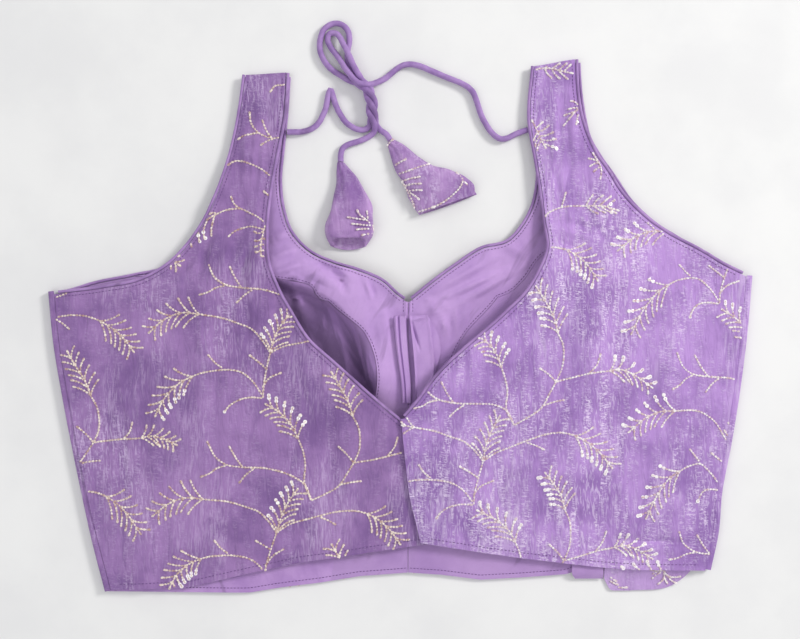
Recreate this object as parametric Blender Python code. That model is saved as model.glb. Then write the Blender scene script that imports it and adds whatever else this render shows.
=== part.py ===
"""A sleeveless sari blouse laid flat on its front, with its back uppermost.

X runs across the garment, Y from the hem up to the straps, Z up from the surface that it lies on.
The tables and functions work in millimetres, and solid() turns them into metres.
"""

import bpy
import numpy as np

# Driving dimensions
MM = 0.001
CLOTH = 1.2
LINING = 1.0
SEAM_GAP = 0.3
SIDE_HEIGHT = 4.9
SIDE_OVERLAP = 4.5
TURN_END = 0.9
BINDING = 1.1
BINDING_INSET = 2.5
CORD_DIAMETER = 4.2
BACK_LOFT = 12.0
LOFT_CENTRE_Y = -35.0
LOFT_TOWARD_STRAPS = 95.0
LOFT_TOWARD_HEM = 118.0
DOME_POWER = 1.2
LAP_DIP = 2.2
LAP_DIP_REACH = (14.0, 2.0)

# Worked out from them
HALF_WIDTH = 245.5
BACK_BOTTOM = SIDE_HEIGHT - CLOTH
BACK_SIDE_INSET = SIDE_OVERLAP + SEAM_GAP
LINING_BOTTOM = CLOTH + SEAM_GAP
LINING_TOP = LINING_BOTTOM + LINING
CENTRE_X = 5.4

# How finely the panels are cut into faces
ROWS_A_STATION = 2
BACK_COLUMNS = 11
LAP_SHARE = 0.93
SIDE_COLUMNS = 5
CENTRE_COLUMNS = 4
CLOSER_TO_SEAM = 1.5
HEM_FADE = 60.0
SHARP_TURN = 0.9
SEAM_SHIFT = SEAM_GAP * 0.55

# Bare lengths at the ends of the bindings
ARMHOLE_BARE = 7.5
NECK_BARE = 2.0
BACK_STRAP_BARE = 0.5
FRONT_STRAP_BARE = 0.2
TRIM_STEP = 1.0

# Panels, from the hem up. Each row is a line across a panel from its outer edge to its inner one:
# name, outer_x, outer_y, inner_x, inner_y and, on the front, the cup seam's share of the way in.
BACK_LEFT = [
    ("hem", -206.0, -184.0, 28.5, -150.5),
    ("below_waist", -215.5, -148.0, 23.0, -127.0),
    ("waist", -222.5, -116.0, 18.0, -104.0),
    ("ribs", -229.5, -82.0, 13.5, -86.0),
    ("v_point", -236.0, -48.0, 9.5, -70.5),
    ("bust", -242.0, -12.0, -8.0, -56.0),
    ("underarm", -245.5, 24.0, -26.5, -40.0),
    ("underarm_turn", -236.5, 25.0, -31.5, -35.5),
    ("armhole_1", -207.0, 28.5, -46.0, -22.5),
    ("armhole_2", -180.0, 34.0, -61.5, -8.5),
    ("armhole_3", -161.0, 45.0, -73.0, 9.0),
    ("armhole_4", -147.0, 60.0, -82.5, 26.0),
    ("strap_1", -136.0, 77.0, -89.5, 45.0),
    ("strap_2", -128.0, 95.0, -91.0, 66.0),
    ("strap_3", -121.5, 114.0, -89.5, 88.0),
    ("strap_4", -116.0, 136.0, -85.0, 115.0),
    ("strap_5", -112.5, 156.0, -79.5, 144.0),
    ("strap_top", -110.0, 175.5, -77.0, 176.5),
]
BACK_RIGHT = [
    ("hem", 216.5, -170.0, 14.0, -150.0),
    ("below_waist", 222.0, -144.0, 10.5, -135.0),
    ("waist", 224.5, -116.0, 6.5, -118.0),
    ("ribs", 231.0, -82.0, 4.0, -98.0),
    ("lower_bust", 236.5, -48.0, 2.0, -79.0),
    ("v_point", 241.0, -14.0, 0.5, -62.0),
    ("underarm", 245.5, 35.0, 14.5, -45.0),
    ("underarm_turn", 239.0, 38.0, 17.5, -40.5),
    ("armhole_1", 227.5, 43.5, 27.0, -29.0),
    ("armhole_2", 207.0, 55.5, 43.0, -14.0),
    ("armhole_3", 187.0, 66.0, 59.0, -0.5),
    ("armhole_4", 168.0, 80.0, 73.0, 12.0),
    ("armhole_5", 153.5, 96.5, 86.0, 25.0),
    ("strap_1", 147.0, 107.0, 93.5, 37.0),
    ("strap_2", 138.0, 120.0, 100.5, 56.0),
    ("strap_3", 131.5, 133.5, 98.5, 70.5),
    ("strap_4", 127.5, 146.5, 96.5, 90.5),
    ("strap_5", 125.5, 158.0, 93.0, 114.0),
    ("strap_6", 124.3, 172.0, 88.3, 143.5),
    ("strap_top", 124.0, 186.0, 91.0, 181.5),
]
FRONT_LEFT = [
    ("hem", -206.0, -185.0, CENTRE_X, -172.0, 0.743),
    ("below_waist", -215.5, -148.0, CENTRE_X, -132.0, 0.790),
    ("waist", -222.5, -116.0, CENTRE_X, -95.0, 0.840),
    ("ribs", -229.5, -82.0, CENTRE_X, -60.0, 0.890),
    ("lower_bust", -236.0, -48.0, CENTRE_X, -30.0, 0.911),
    ("bust", -242.0, -12.0, CENTRE_X, -3.0, 0.877),
    ("underarm", -245.5, 24.0, CENTRE_X, 19.0, 0.771),
    ("underarm_turn", -236.5, 25.0, 0.0, 22.5, 0.760),
    ("armhole_1", -213.5, 31.5, -10.5, 32.0, 0.727),
    ("armhole_2", -186.0, 37.0, -28.0, 40.0, 0.500),
    ("armhole_3", -161.5, 43.5, -46.0, 45.5, 0.500),
    ("armhole_4", -146.0, 59.0, -62.0, 53.0, 0.500),
    ("strap_1", -134.5, 76.5, -75.0, 67.0, 0.500),
    ("strap_2", -126.5, 95.0, -80.5, 83.0, 0.500),
    ("strap_3", -120.0, 114.0, -82.5, 101.0, 0.500),
    ("strap_4", -114.5, 136.0, -80.5, 125.0, 0.500),
    ("strap_5", -111.0, 156.5, -78.0, 150.0, 0.500),
    ("strap_top", -109.5, 174.0, -76.5, 174.0, 0.500),
]
FRONT_RIGHT = [
    ("hem", 216.5, -170.0, CENTRE_X, -172.0, 0.742),
    ("below_waist", 222.0, -144.0, CENTRE_X, -132.0, 0.785),
    ("waist", 224.5, -116.0, CENTRE_X, -95.0, 0.824),
    ("ribs", 231.0, -82.0, CENTRE_X, -60.0, 0.860),
    ("lower_bust", 236.5, -48.0, CENTRE_X, -30.0, 0.876),
    ("bust", 241.0, -14.0, CENTRE_X, -3.0, 0.828),
    ("underarm", 245.5, 35.0, CENTRE_X, 19.0, 0.730),
    ("underarm_turn", 238.5, 38.5, 10.5, 23.0, 0.700),
    ("armhole_1", 220.5, 47.0, 19.0, 30.0, 0.663),
    ("armhole_2", 196.0, 62.0, 38.0, 44.0, 0.620),
    ("armhole_3", 178.5, 73.0, 56.0, 55.5, 0.500),
    ("armhole_4", 162.5, 88.0, 74.0, 60.5, 0.500),
    ("armhole_5", 150.5, 105.5, 84.5, 72.0, 0.500),
    ("strap_1", 140.0, 120.5, 91.5, 86.0, 0.500),
    ("strap_2", 133.5, 132.0, 94.5, 103.0, 0.500),
    ("strap_3", 130.0, 146.0, 94.0, 122.0, 0.500),
    ("strap_4", 128.0, 158.0, 91.5, 140.0, 0.500),
    ("strap_5", 126.7, 171.0, 90.5, 160.0, 0.500),
    ("strap_top", 126.0, 184.0, 93.0, 179.5, 0.500),
]

# Hem lines: x, y
BACK_LEFT_HEM = [
    (-206, -184), (-147, -181.5), (-105, -171.5), (-70, -164), (-35, -159), (0, -153.5), (28.5, -150.5),
]
BACK_RIGHT_HEM = [
    (14, -150), (35, -153.5), (84, -161), (140, -167.5), (168, -169.5), (216.5, -170),
]
FRONT_LEFT_HEM = [
    (-206, -185), (-119, -186), (-105, -186), (-84, -182.5), (-56, -179), (-28, -174.5), (CENTRE_X, -172),
]
FRONT_RIGHT_HEM = [
    (CENTRE_X, -172), (28, -173.5), (56, -177), (84, -175.5), (118, -173), (126, -167), (204, -166.5),
    (216.5, -170),
]

# The sweetheart neckline stands up from the surface: x, y, height, reach
NECK_RISE = [
    (-83.0, 98.5, 0.0, 20.0),
    (-77.0, 72.0, 2.0, 24.0),
    (-62.0, 53.0, 5.0, 32.0),
    (-42.0, 44.0, 7.0, 38.0),
    (-24.5, 39.0, 8.0, 42.0),
    (-10.5, 32.0, 8.0, 44.0),
    (CENTRE_X, 19.0, 8.0, 46.0),
    (21.0, 31.5, 8.0, 44.0),
    (42.0, 46.0, 7.5, 40.0),
    (60.5, 58.0, 5.5, 34.0),
    (78.0, 63.5, 2.8, 26.0),
    (91.0, 83.5, 0.8, 22.0),
    (94.5, 108.0, 0.0, 20.0),
]

# The centre front seam stands up between the cups
CENTRE_RISE = 4.5
CENTRE_FLAT = 17.0
CENTRE_REACH = 44.0
CENTRE_RISE_Y = (-112.0, -78.0, -20.0, 16.0)

# Folds in the back, as soft ridges: x0, y0, x1, y1, height, half_width
FOLD_ENDS = (0.12, 0.88)
BACK_FOLDS = [
    (-98.0, 158.0, -103.0, 60.0, 1.6, 7.0),
    (-112.0, 100.0, -126.0, 40.0, 1.4, 11.0),
    (-104.0, 48.0, -178.0, 12.0, 1.8, 20.0),
    (-66.0, -30.0, -76.0, -120.0, 1.6, 26.0),
    (-150.0, -40.0, -146.0, -150.0, 1.4, 28.0),
    (106.0, 160.0, 112.0, 84.0, 1.6, 8.0),
    (118.0, 66.0, 182.0, 30.0, 1.8, 22.0),
    (96.0, -40.0, 84.0, -130.0, 1.6, 26.0),
    (166.0, -10.0, 158.0, -120.0, 1.4, 28.0),
]

# Turned edge, as distances in from the outline and heights: outer_in, outer_z, inner_in, inner_z
SIDE_TURN = [
    (SIDE_OVERLAP, SIDE_HEIGHT, SIDE_OVERLAP, SIDE_HEIGHT - CLOTH),
    (0.35, 4.5, 1.3, 3.6),
    (0.0, 2.45, 1.2, 2.45),
    (0.35, 0.4, 1.3, 1.4),
    (1.6, 0.0, 1.6, CLOTH),
]
STRAP_TURN = [
    (1.6, SIDE_HEIGHT, 1.6, SIDE_HEIGHT - CLOTH),
    (0.35, 4.6, 1.3, 3.5),
    (0.0, 2.6, 1.2, 2.5),
    (0.0, 0.3, 1.2, 0.3),
]
STRAP_FOOT = 1.0

# Strips along the centre front, over the lining: left_x, left_y, right_x, right_y
PLACKET_LEFT = [
    (-4.5, 7.0, 4.6, 7.0),
    (-3.5, -8.0, 5.0, -8.0),
    (-1.5, -24.0, 6.2, -24.0),
    (0.5, -39.0, 7.4, -39.0),
    (1.5, -53.0, 8.0, -53.0),
]
PLACKET_RIGHT = [
    (6.4, 7.0, 18.5, 7.7),
    (7.6, -4.0, 25.5, -4.0),
    (9.0, -17.0, 28.0, -14.0),
    (10.0, -31.0, 25.0, -30.0),
    (10.5, -46.0, 21.5, -45.0),
    (10.8, -54.0, 14.0, -53.0),
]
STRIP_COLUMNS = 3
STRIP_OFFSET = 0.5

# Spare cloth under the right hem: y, height, left_x, right_x
SEAM_ALLOWANCE = [
    (-146.0, 2.9, 121.0, 141.0),
    (-160.0, 2.9, 120.6, 141.2),
    (-173.4, 2.9, 120.0, 141.5),
    (-176.3, 1.2, 122.0, 141.5),
]
MARGIN_FLAP = [
    (-146.0, 2.9, 143.0, 206.0),
    (-168.8, 2.9, 142.2, 203.2),
    (-176.0, 0.3, 142.5, 197.5),
    (-181.5, 0.3, 145.0, 189.0),
    (-184.8, 0.3, 148.5, 160.0),
]
FLAP_COLUMNS = 4

# Tie cords: x, y, z of each route
CORD_LEFT = [
    (-78.9, 135.4, 2.15), (-69.5, 135.4, 2.15), (-61.1, 137.6, 2.15), (-55.6, 143.5, 2.15),
    (-52.0, 151.9, 2.15), (-50.4, 160.3, 2.15), (-49.2, 165.6, 2.15), (-47.6, 163.4, 2.15),
    (-46.3, 157.5, 2.15), (-42.7, 148.8, 2.15), (-37.4, 141.3, 2.15), (-31.0, 137.4, 2.15),
    (-25.6, 137.0, 2.15), (-21.9, 138.1, 2.15),
]
CORD_RIGHT = [
    (88.85, 137.0, 2.15), (81.2, 134.4, 2.15), (73.7, 130.6, 2.15), (68.4, 130.6, 2.15),
    (62.0, 137.0, 2.15), (56.5, 146.7, 2.15), (53.9, 155.2, 2.15), (51.3, 162.7, 2.15),
    (45.9, 168.1, 2.15), (38.3, 171.3, 2.15), (29.9, 174.5, 2.15), (21.2, 178.2, 2.15),
    (12.7, 182.0, 2.15), (5.2, 182.7, 2.15), (-0.9, 180.9, 2.15), (-6.3, 176.1, 2.15),
    (-11.7, 171.8, 2.15), (-20.4, 168.0, 2.15),
]
LOOP_OUTER = [
    (-31.3, 169.6, 2.15), (-36.2, 171.6, 2.15), (-41.6, 174.8, 2.15), (-47.8, 178.8, 2.15),
    (-52.3, 183.7, 2.15), (-55.2, 189.1, 2.15), (-56.5, 194.4, 2.15), (-56.0, 200.2, 2.15),
    (-54.1, 206.0, 2.15), (-50.6, 209.6, 2.15), (-45.7, 211.4, 2.15), (-40.8, 210.5, 2.15),
    (-37.1, 207.3, 2.15), (-35.6, 202.4, 2.15), (-35.6, 197.5, 2.15), (-36.7, 192.9, 2.15),
    (-36.9, 187.6, 2.15), (-35.9, 182.0, 2.15), (-33.1, 175.7, 2.15), (-28.6, 173.4, 2.15),
]
LOOP_INNER = [
    (-31.3, 170.2, 6.75), (-34.0, 173.3, 6.75), (-38.5, 179.2, 6.6), (-40.8, 183.3, 5.0),
    (-44.3, 189.0, 3.0), (-48.3, 193.9, 2.15), (-50.6, 198.8, 2.15), (-50.7, 203.0, 2.15),
    (-48.1, 205.1, 2.15), (-45.2, 204.4, 2.3), (-42.0, 200.9, 4.0), (-39.7, 196.0, 6.2),
    (-37.4, 191.8, 6.75), (-34.8, 186.2, 6.75), (-32.4, 180.6, 6.5), (-29.6, 176.0, 6.75),
    (-28.4, 174.1, 6.75),
]
TAIL_LEFT = [
    (-18.6, 134.3, 2.15), (-23.0, 131.4, 2.15), (-28.9, 128.9, 2.15), (-35.0, 127.4, 2.15),
    (-39.8, 124.6, 2.15), (-41.5, 121.3, 2.15), (-41.6, 114.65, 2.15),
]
TAIL_RIGHT = [
    (-14.9, 137.3, 2.15), (-11.2, 135.4, 2.15), (-8.6, 132.6, 2.15), (-7.0, 129.8, 2.15),
]
CORD_STEP = 8.5

# The knot, as a twisted two-strand rope: x, y, half_width, half_height
KNOT = [
    (-29.0, 171.0, 4.4, 4.2),
    (-25.0, 168.4, 3.5, 4.2),
    (-22.2, 164.5, 3.3, 4.2),
    (-20.4, 158.2, 4.2, 4.2),
    (-19.2, 154.0, 3.9, 4.2),
    (-19.9, 149.1, 4.5, 4.2),
    (-19.9, 144.9, 4.5, 4.2),
    (-18.4, 140.7, 3.9, 3.6),
    (-17.0, 137.5, 3.2, 2.6),
]
KNOT_SIDES = 12
KNOT_CLEARANCE = 0.1
KNOT_WAIST = 0.18
KNOT_LAY = 14.0

# Tassels, from the neck to the mouth: left_x, left_y, right_x, right_y, height
TASSEL_LEFT = [
    (-43.9, 114.2, -39.3, 114.2, 4.2),
    (-44.6, 108.5, -35.5, 109.5, 5.0),
    (-44.7, 101.0, -29.4, 102.0, 7.0),
    (-46.8, 92.0, -24.2, 93.0, 9.0),
    (-49.5, 80.0, -20.0, 82.5, 11.0),
    (-51.6, 70.0, -18.6, 71.5, 12.0),
    (-52.4, 61.5, -19.0, 62.5, 12.0),
    (-48.5, 54.2, -24.0, 54.0, 11.5),
]
TASSEL_RIGHT = [
    (-9.3, 127.5, -5.1, 130.4, 4.2),
    (-8.0, 123.5, 2.0, 126.5, 5.0),
    (-5.0, 114.0, 12.5, 118.0, 6.5),
    (-1.5, 106.0, 22.0, 112.0, 8.0),
    (2.5, 98.0, 33.0, 109.5, 9.0),
    (6.0, 90.0, 44.5, 104.5, 9.0),
    (9.0, 83.5, 50.0, 99.0, 8.5),
    (12.0, 77.5, 52.3, 91.8, 8.0),
]
TASSEL_SIDES = 14
TASSEL_WALL = 1.3
MOUTH_DEPTH = 6.0
MOUTH_NARROWING = 0.04
MOUTH_FLOOR_RISE = 0.1
MOUTH_ROOF_DROP = 0.25
TASSEL_CLEARANCE = 0.1
FLAT_SHARE = 0.35

# Finishes: red, green, blue, roughness, metallic
FINISHES = {
    "tissue": (0.34, 0.16, 0.50, 0.45, 0.10),
    "lining": (0.45, 0.24, 0.66, 0.55, 0.0),
    "binding": (0.33, 0.15, 0.52, 0.60, 0.0),
    "cord": (0.33, 0.15, 0.50, 0.60, 0.0),
    "tassel": (0.36, 0.17, 0.52, 0.45, 0.10),
}


# Curves and heights

def slope_between(slopes, lengths, i):
    """The slope at a point, from the steps before and after it."""
    before, after = lengths[i - 1], lengths[i]
    return (slopes[i - 1] * after + slopes[i] * before) / (before + after)


def smooth_line(points, corner=None, per_span=ROWS_A_STATION):
    """Points along a curve through the given ones, with a sharp turn at the corner if there is one."""
    points = np.asarray(points, float)
    steps = np.diff(points, axis=0)
    lengths = np.linalg.norm(steps, axis=1)[:, None]
    slopes = steps / lengths
    last = len(points) - 1
    line = []
    for i in range(last):
        start_slope, end_slope = slopes[i], slopes[i]
        if i > 0 and i != corner:
            start_slope = slope_between(slopes, lengths, i)
        if i + 1 < last and i + 1 != corner:
            end_slope = slope_between(slopes, lengths, i + 1)
        for t in np.arange(per_span) / per_span:
            line.append(
                (1 + 2 * t) * (1 - t) ** 2 * points[i]
                + t * (1 - t) ** 2 * lengths[i] * start_slope
                + t * t * (3 - 2 * t) * points[i + 1]
                - t * t * (1 - t) * lengths[i] * end_slope
            )
    line.append(points[last])
    return np.array(line)


def inset_line(line, insets, side):
    """The line moved sideways by an inset for each of its steps, to its right for side 1 and left for -1."""
    steps = np.diff(line, axis=0)
    normals = side * np.column_stack([steps[:, 1], -steps[:, 0]]) / np.linalg.norm(steps, axis=1)[:, None]
    moved = line.copy()
    moved[0] += normals[0] * insets[0]
    moved[-1] += normals[-1] * insets[-1]
    for i in range(1, len(line) - 1):
        before, after = normals[i - 1], normals[i]
        if before @ after > SHARP_TURN:
            moved[i] += (before * insets[i - 1] + after * insets[i]) / 2
        else:
            moved[i] += np.linalg.solve([before, after], [insets[i - 1], insets[i]])
    return moved


def trimmed(line, start, end):
    """The line without the given lengths at its two ends."""
    reach = np.concatenate([[0], np.cumsum(np.linalg.norm(np.diff(line, axis=0), axis=1))])
    kept = (reach > start + TRIM_STEP) & (reach < reach[-1] - end - TRIM_STEP)
    places = np.concatenate([[start], reach[kept], [reach[-1] - end]])
    return np.column_stack([np.interp(places, reach, line[:, k]) for k in range(line.shape[1])])


def soft_step(value, low, high):
    share = np.clip((value - low) / (high - low), 0, 1)
    return share * share * (3 - 2 * share)


def bump(distance, reach):
    """1 at no distance, falling smoothly to exactly 0 at the reach."""
    return np.clip(1 - (distance / reach) ** 2, 0, None) ** 2


def distance_to(x, y, start, end):
    """Distance from each (x, y) to a straight stretch, and the share of the way along it."""
    run = np.subtract(end, start)
    share = np.clip(((x - start[0]) * run[0] + (y - start[1]) * run[1]) / (run @ run), 0, 1)
    return np.hypot(x - start[0] - share * run[0], y - start[1] - share * run[1]), share


def front_rise(x, y):
    """How far the front stands up: along its neckline, and along the centre front."""
    nearest = np.full(np.shape(x), np.inf)
    rise = np.zeros(np.shape(x))
    for (x0, y0, height0, reach0), (x1, y1, height1, reach1) in zip(NECK_RISE, NECK_RISE[1:]):
        distance, share = distance_to(x, y, (x0, y0), (x1, y1))
        height = (height0 + (height1 - height0) * share) * bump(distance, reach0 + (reach1 - reach0) * share)
        rise = np.where(distance < nearest, height, rise)
        nearest = np.minimum(nearest, distance)
    across = 1 - soft_step(np.abs(x - CENTRE_X), CENTRE_FLAT, CENTRE_REACH)
    low, full_low, full_high, high = CENTRE_RISE_Y
    along = soft_step(y, low, full_low) * (1 - soft_step(y, full_high, high))
    return rise + CENTRE_RISE * across * along


def back_rise(x, y):
    """How far the back is lofted over the front, with its folds."""
    dome = np.clip(1 - (x / HALF_WIDTH) ** 2, 0, None) ** DOME_POWER
    spread = np.where(y > LOFT_CENTRE_Y, LOFT_TOWARD_STRAPS, LOFT_TOWARD_HEM)
    rise = BACK_LOFT * dome * np.exp(-(((y - LOFT_CENTRE_Y) / spread) ** 2))
    for x0, y0, x1, y1, height, half_width in BACK_FOLDS:
        distance, share = distance_to(x, y, (x0, y0), (x1, y1))
        rise = rise + height * bump(distance, half_width) * np.sin(np.pi * np.clip(share, *FOLD_ENDS))
    return rise


# Solids

def finish(name):
    red, green, blue, roughness, metallic = FINISHES[name]
    material = bpy.data.materials.get(name) or bpy.data.materials.new(name)
    material.use_nodes = True
    shader = material.node_tree.nodes["Principled BSDF"]
    shader.inputs["Base Color"].default_value = (red, green, blue, 1)
    shader.inputs["Roughness"].default_value = roughness
    shader.inputs["Metallic"].default_value = metallic
    return material


def solid(name, points, faces, material):
    """A closed mesh object from points in mm, with its faces turned outward."""
    points = np.asarray(points, float) * MM
    corners = points[np.array(faces)]
    volume = np.einsum("ij,ij->i", corners[:, 0], np.cross(corners[:, 1], corners[:, 2])).sum()
    if volume < 0:
        faces = [face[::-1] for face in faces]
    mesh = bpy.data.meshes.new(name)
    mesh.from_pydata(points.tolist(), [], faces)
    mesh.materials.append(finish(material))
    mesh.shade_smooth()
    mesh.set_sharp_from_angle(angle=0.7)
    made = bpy.data.objects.new(name, mesh)
    bpy.context.scene.collection.objects.link(made)
    return made


def wall(name, over, under, cells, material):
    """A wall of cloth between two grids of points, where cells says which squares of the grid it fills."""
    rows, columns = over.shape[:2]
    points = np.concatenate([over.reshape(-1, 3), under.reshape(-1, 3)])
    below = rows * columns
    faces = []
    for r, c in zip(*np.nonzero(cells)):
        a, b = r * columns + c, r * columns + c + 1
        d, e = a + columns, b + columns
        faces += [(a, b, e), (a, e, d), (a + below, e + below, b + below), (a + below, d + below, e + below)]
        sides = [((r - 1, c), a, b), ((r, c + 1), b, e), ((r + 1, c), e, d), ((r, c - 1), d, a)]
        for (nr, nc), p, q in sides:
            if 0 <= nr < rows - 1 and 0 <= nc < columns - 1 and cells[nr, nc]:
                continue
            faces += [(p, p + below, q + below), (p, q + below, q)]
    used, faces = np.unique(np.array(faces), return_inverse=True)
    return solid(name, points[used], faces.reshape(-1, 3).tolist(), material)


def tube(name, line, radius, material, sides=6):
    """A round tube along a line of points, closed at both ends."""
    steps = np.gradient(line, axis=0)
    steps /= np.linalg.norm(steps, axis=1)[:, None]
    rings = []
    for point, along in zip(line, steps):
        across = np.cross(along, (0, 0, 1))
        across /= np.linalg.norm(across)
        up = np.cross(across, along)
        turns = 2 * np.pi * np.arange(sides) / sides
        rings.append(point + radius * (np.outer(np.cos(turns), across) + np.outer(np.sin(turns), up)))
    return loft(name, rings, material)


def loft(name, rings, material):
    """A skin over rings of points, with a fan over each end."""
    rings = np.array(rings)
    count, sides = rings.shape[:2]
    points = np.concatenate([rings.reshape(-1, 3), [rings[0].mean(axis=0), rings[-1].mean(axis=0)]])
    first, last = count * sides, count * sides + 1
    faces = []
    for k in range(sides):
        m = (k + 1) % sides
        faces += [(first, m, k), (last, first - sides + k, first - sides + m)]
        for r in range(count - 1):
            low, high = r * sides, (r + 1) * sides
            faces += [(low + k, low + m, high + m), (low + k, high + m, high + k)]
    return solid(name, points, faces, material)


# Panels

def panel_plan(stations, corner_names, insets, side, shares, hem):
    """Plan points of a panel, a row for each line across it, with the lines that its edges stand in from."""
    names = [row[0] for row in stations]
    sizes = np.array([row[1:] for row in stations], float)
    edges = []
    for k, (corner_name, (low_inset, high_inset)) in enumerate(zip(corner_names, insets)):
        corner = names.index(corner_name)
        line = smooth_line(sizes[:, 2 * k:2 * k + 2], corner)
        steps = [low_inset if i < corner * ROWS_A_STATION else high_inset for i in range(len(line) - 1)]
        edges.append((line, inset_line(line, steps, side if k == 0 else -side)))
    (outer_line, outer), (inner_line, inner) = edges
    rows = np.arange(len(outer)) / ROWS_A_STATION
    shares = shares(rows, sizes)
    plan = outer[:, None] + (inner - outer)[:, None] * shares[:, :, None]
    hem = np.array(hem, float)
    change = np.interp(plan[0, :, 0], hem[:, 0], hem[:, 1]) - plan[0, :, 1]
    fade = np.clip(1 - (plan[:, :, 1] - plan[0, :, 1]) / HEM_FADE, 0, 1) ** 2
    plan[:, :, 1] += change * fade
    return plan, outer_line, inner_line, names.index(corner_names[0]) * ROWS_A_STATION


def even_shares(rows, sizes):
    return np.tile(np.append(np.linspace(0, LAP_SHARE, BACK_COLUMNS), 1), (len(rows), 1))


def seam_shares(rows, sizes):
    """Shares across a front panel, with one column of points on the cup seam."""
    seam = np.interp(rows, np.arange(len(sizes)), sizes[:, 4])[:, None]
    side_part = (1 - np.linspace(1, 0, SIDE_COLUMNS + 1)[None, :] ** CLOSER_TO_SEAM) * seam
    centre_part = seam + np.linspace(0, 1, CENTRE_COLUMNS + 1)[None, 1:] * (1 - seam)
    return np.concatenate([side_part, centre_part], axis=1)


def raised(plan, rise, height):
    return np.concatenate([plan, (rise + height)[..., None]], axis=-1)


def turned_rows(plan, rise):
    """Rows past a back strap's top, where it turns down over the far strap's end."""
    top = plan[-1]
    over, under = [], []
    for outer_in, outer_z, inner_in, inner_z in STRAP_TURN[1:]:
        for rows, inward, height in ((over, outer_in, outer_z), (under, inner_in, inner_z)):
            share = np.clip((height - STRAP_FOOT) / (BACK_BOTTOM - STRAP_FOOT), 0, 1)
            across = top + np.array([0, STRAP_TURN[0][0] - inward])
            rows.append(np.column_stack([across, height + rise[-1] * share]))
    return np.array(over), np.array(under)


def back_panel(side_name, stations, hem, side):
    plan, outer_line, inner_line, underarm = panel_plan(
        stations,
        ("underarm", "v_point"),
        ((BACK_SIDE_INSET, BINDING_INSET), (0, BINDING_INSET)),
        side,
        even_shares,
        hem,
    )
    plan[-1, :, 1] -= STRAP_TURN[0][0]
    rise = back_rise(plan[..., 0], plan[..., 1]) - lap_dip(side_name, plan[..., 0], plan[..., 1])
    over, under = raised(plan, rise, SIDE_HEIGHT), raised(plan, rise, BACK_BOTTOM)
    over_turn, under_turn = turned_rows(plan, rise)
    over, under = np.concatenate([over, over_turn]), np.concatenate([under, under_turn])
    cells = np.ones((len(over) - 1, over.shape[1] - 1), bool)
    wall(f"back_{side_name}", over, under, cells, "tissue")
    bind("back", side_name, outer_line, inner_line, underarm, stations, side)


def lap_dip(side_name, x, y):
    """How far the left half of the back sinks where the right half laps over it."""
    if side_name == "right":
        return np.zeros(np.shape(x))
    edge = smooth_line([row[3:5] for row in BACK_RIGHT[:9]], corner=5)
    edge_x = np.interp(y, edge[:, 1], edge[:, 0])
    far, near = LAP_DIP_REACH
    return LAP_DIP * soft_step(x, edge_x - far, edge_x - near)


def bind(layer, side_name, outer_line, inner_line, underarm, stations, side):
    """The bindings on a panel's armhole and neck edges."""
    names = [row[0] for row in stations]
    neck = names.index("v_point" if layer == "back" else "underarm") * ROWS_A_STATION
    edges = {
        "armhole": (outer_line[underarm:], side, ARMHOLE_BARE),
        "neck": (inner_line[neck:], -side, NECK_BARE),
    }
    for edge_name, (line, turn, start) in edges.items():
        line = inset_line(line, [BINDING] * (len(line) - 1), turn)
        line = trimmed(line, start, BACK_STRAP_BARE if layer == "back" else FRONT_STRAP_BARE)
        if layer == "back":
            rise = back_rise(line[:, 0], line[:, 1]) - lap_dip(side_name, line[:, 0], line[:, 1])
            height = BACK_BOTTOM + CLOTH / 2
        else:
            rise, height = front_rise(line[:, 0], line[:, 1]), LINING_TOP / 2
        tube(f"{layer}_{edge_name}_binding_{side_name}", raised(line, rise, height), BINDING, "binding")


def front_panel(side_name, stations, hem, side):
    """A front panel, its turned side and its lining, which is made from the panel's own points."""
    plan, outer_line, inner_line, underarm = panel_plan(
        stations,
        ("underarm", "underarm"),
        ((SIDE_TURN[-1][0], BINDING_INSET), (SEAM_GAP / 2, BINDING_INSET)),
        side,
        seam_shares,
        hem,
    )
    rise = front_rise(plan[..., 0], plan[..., 1])
    over, under = raised(plan, rise, CLOTH), raised(plan, rise, 0)
    inward = inset_line(outer_line[:underarm + 1], [1.0] * underarm, side) - outer_line[:underarm + 1]
    inward[-1] *= TURN_END
    turned_over, turned_under = [], []
    for outer_in, outer_z, inner_in, inner_z in SIDE_TURN[:-1]:
        faces = (turned_under, outer_in, outer_z), (turned_over, inner_in, inner_z)
        for columns, distance, height in faces:
            column = np.zeros((len(plan), 3))
            column[:underarm + 1, :2] = outer_line[:underarm + 1] + inward * distance
            column[:, 2] = height
            columns.append(column)
    over = np.concatenate([np.stack(turned_over, axis=1), over], axis=1)
    under = np.concatenate([np.stack(turned_under, axis=1), under], axis=1)
    cells = np.ones((len(over) - 1, over.shape[1] - 1), bool)
    cells[underarm:, :len(turned_over)] = False
    wall(f"front_{side_name}", over, under, cells, "tissue")
    bind("front", side_name, outer_line, inner_line, underarm, stations, side)
    return line_front(side_name, stations, plan, rise, side)


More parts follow.
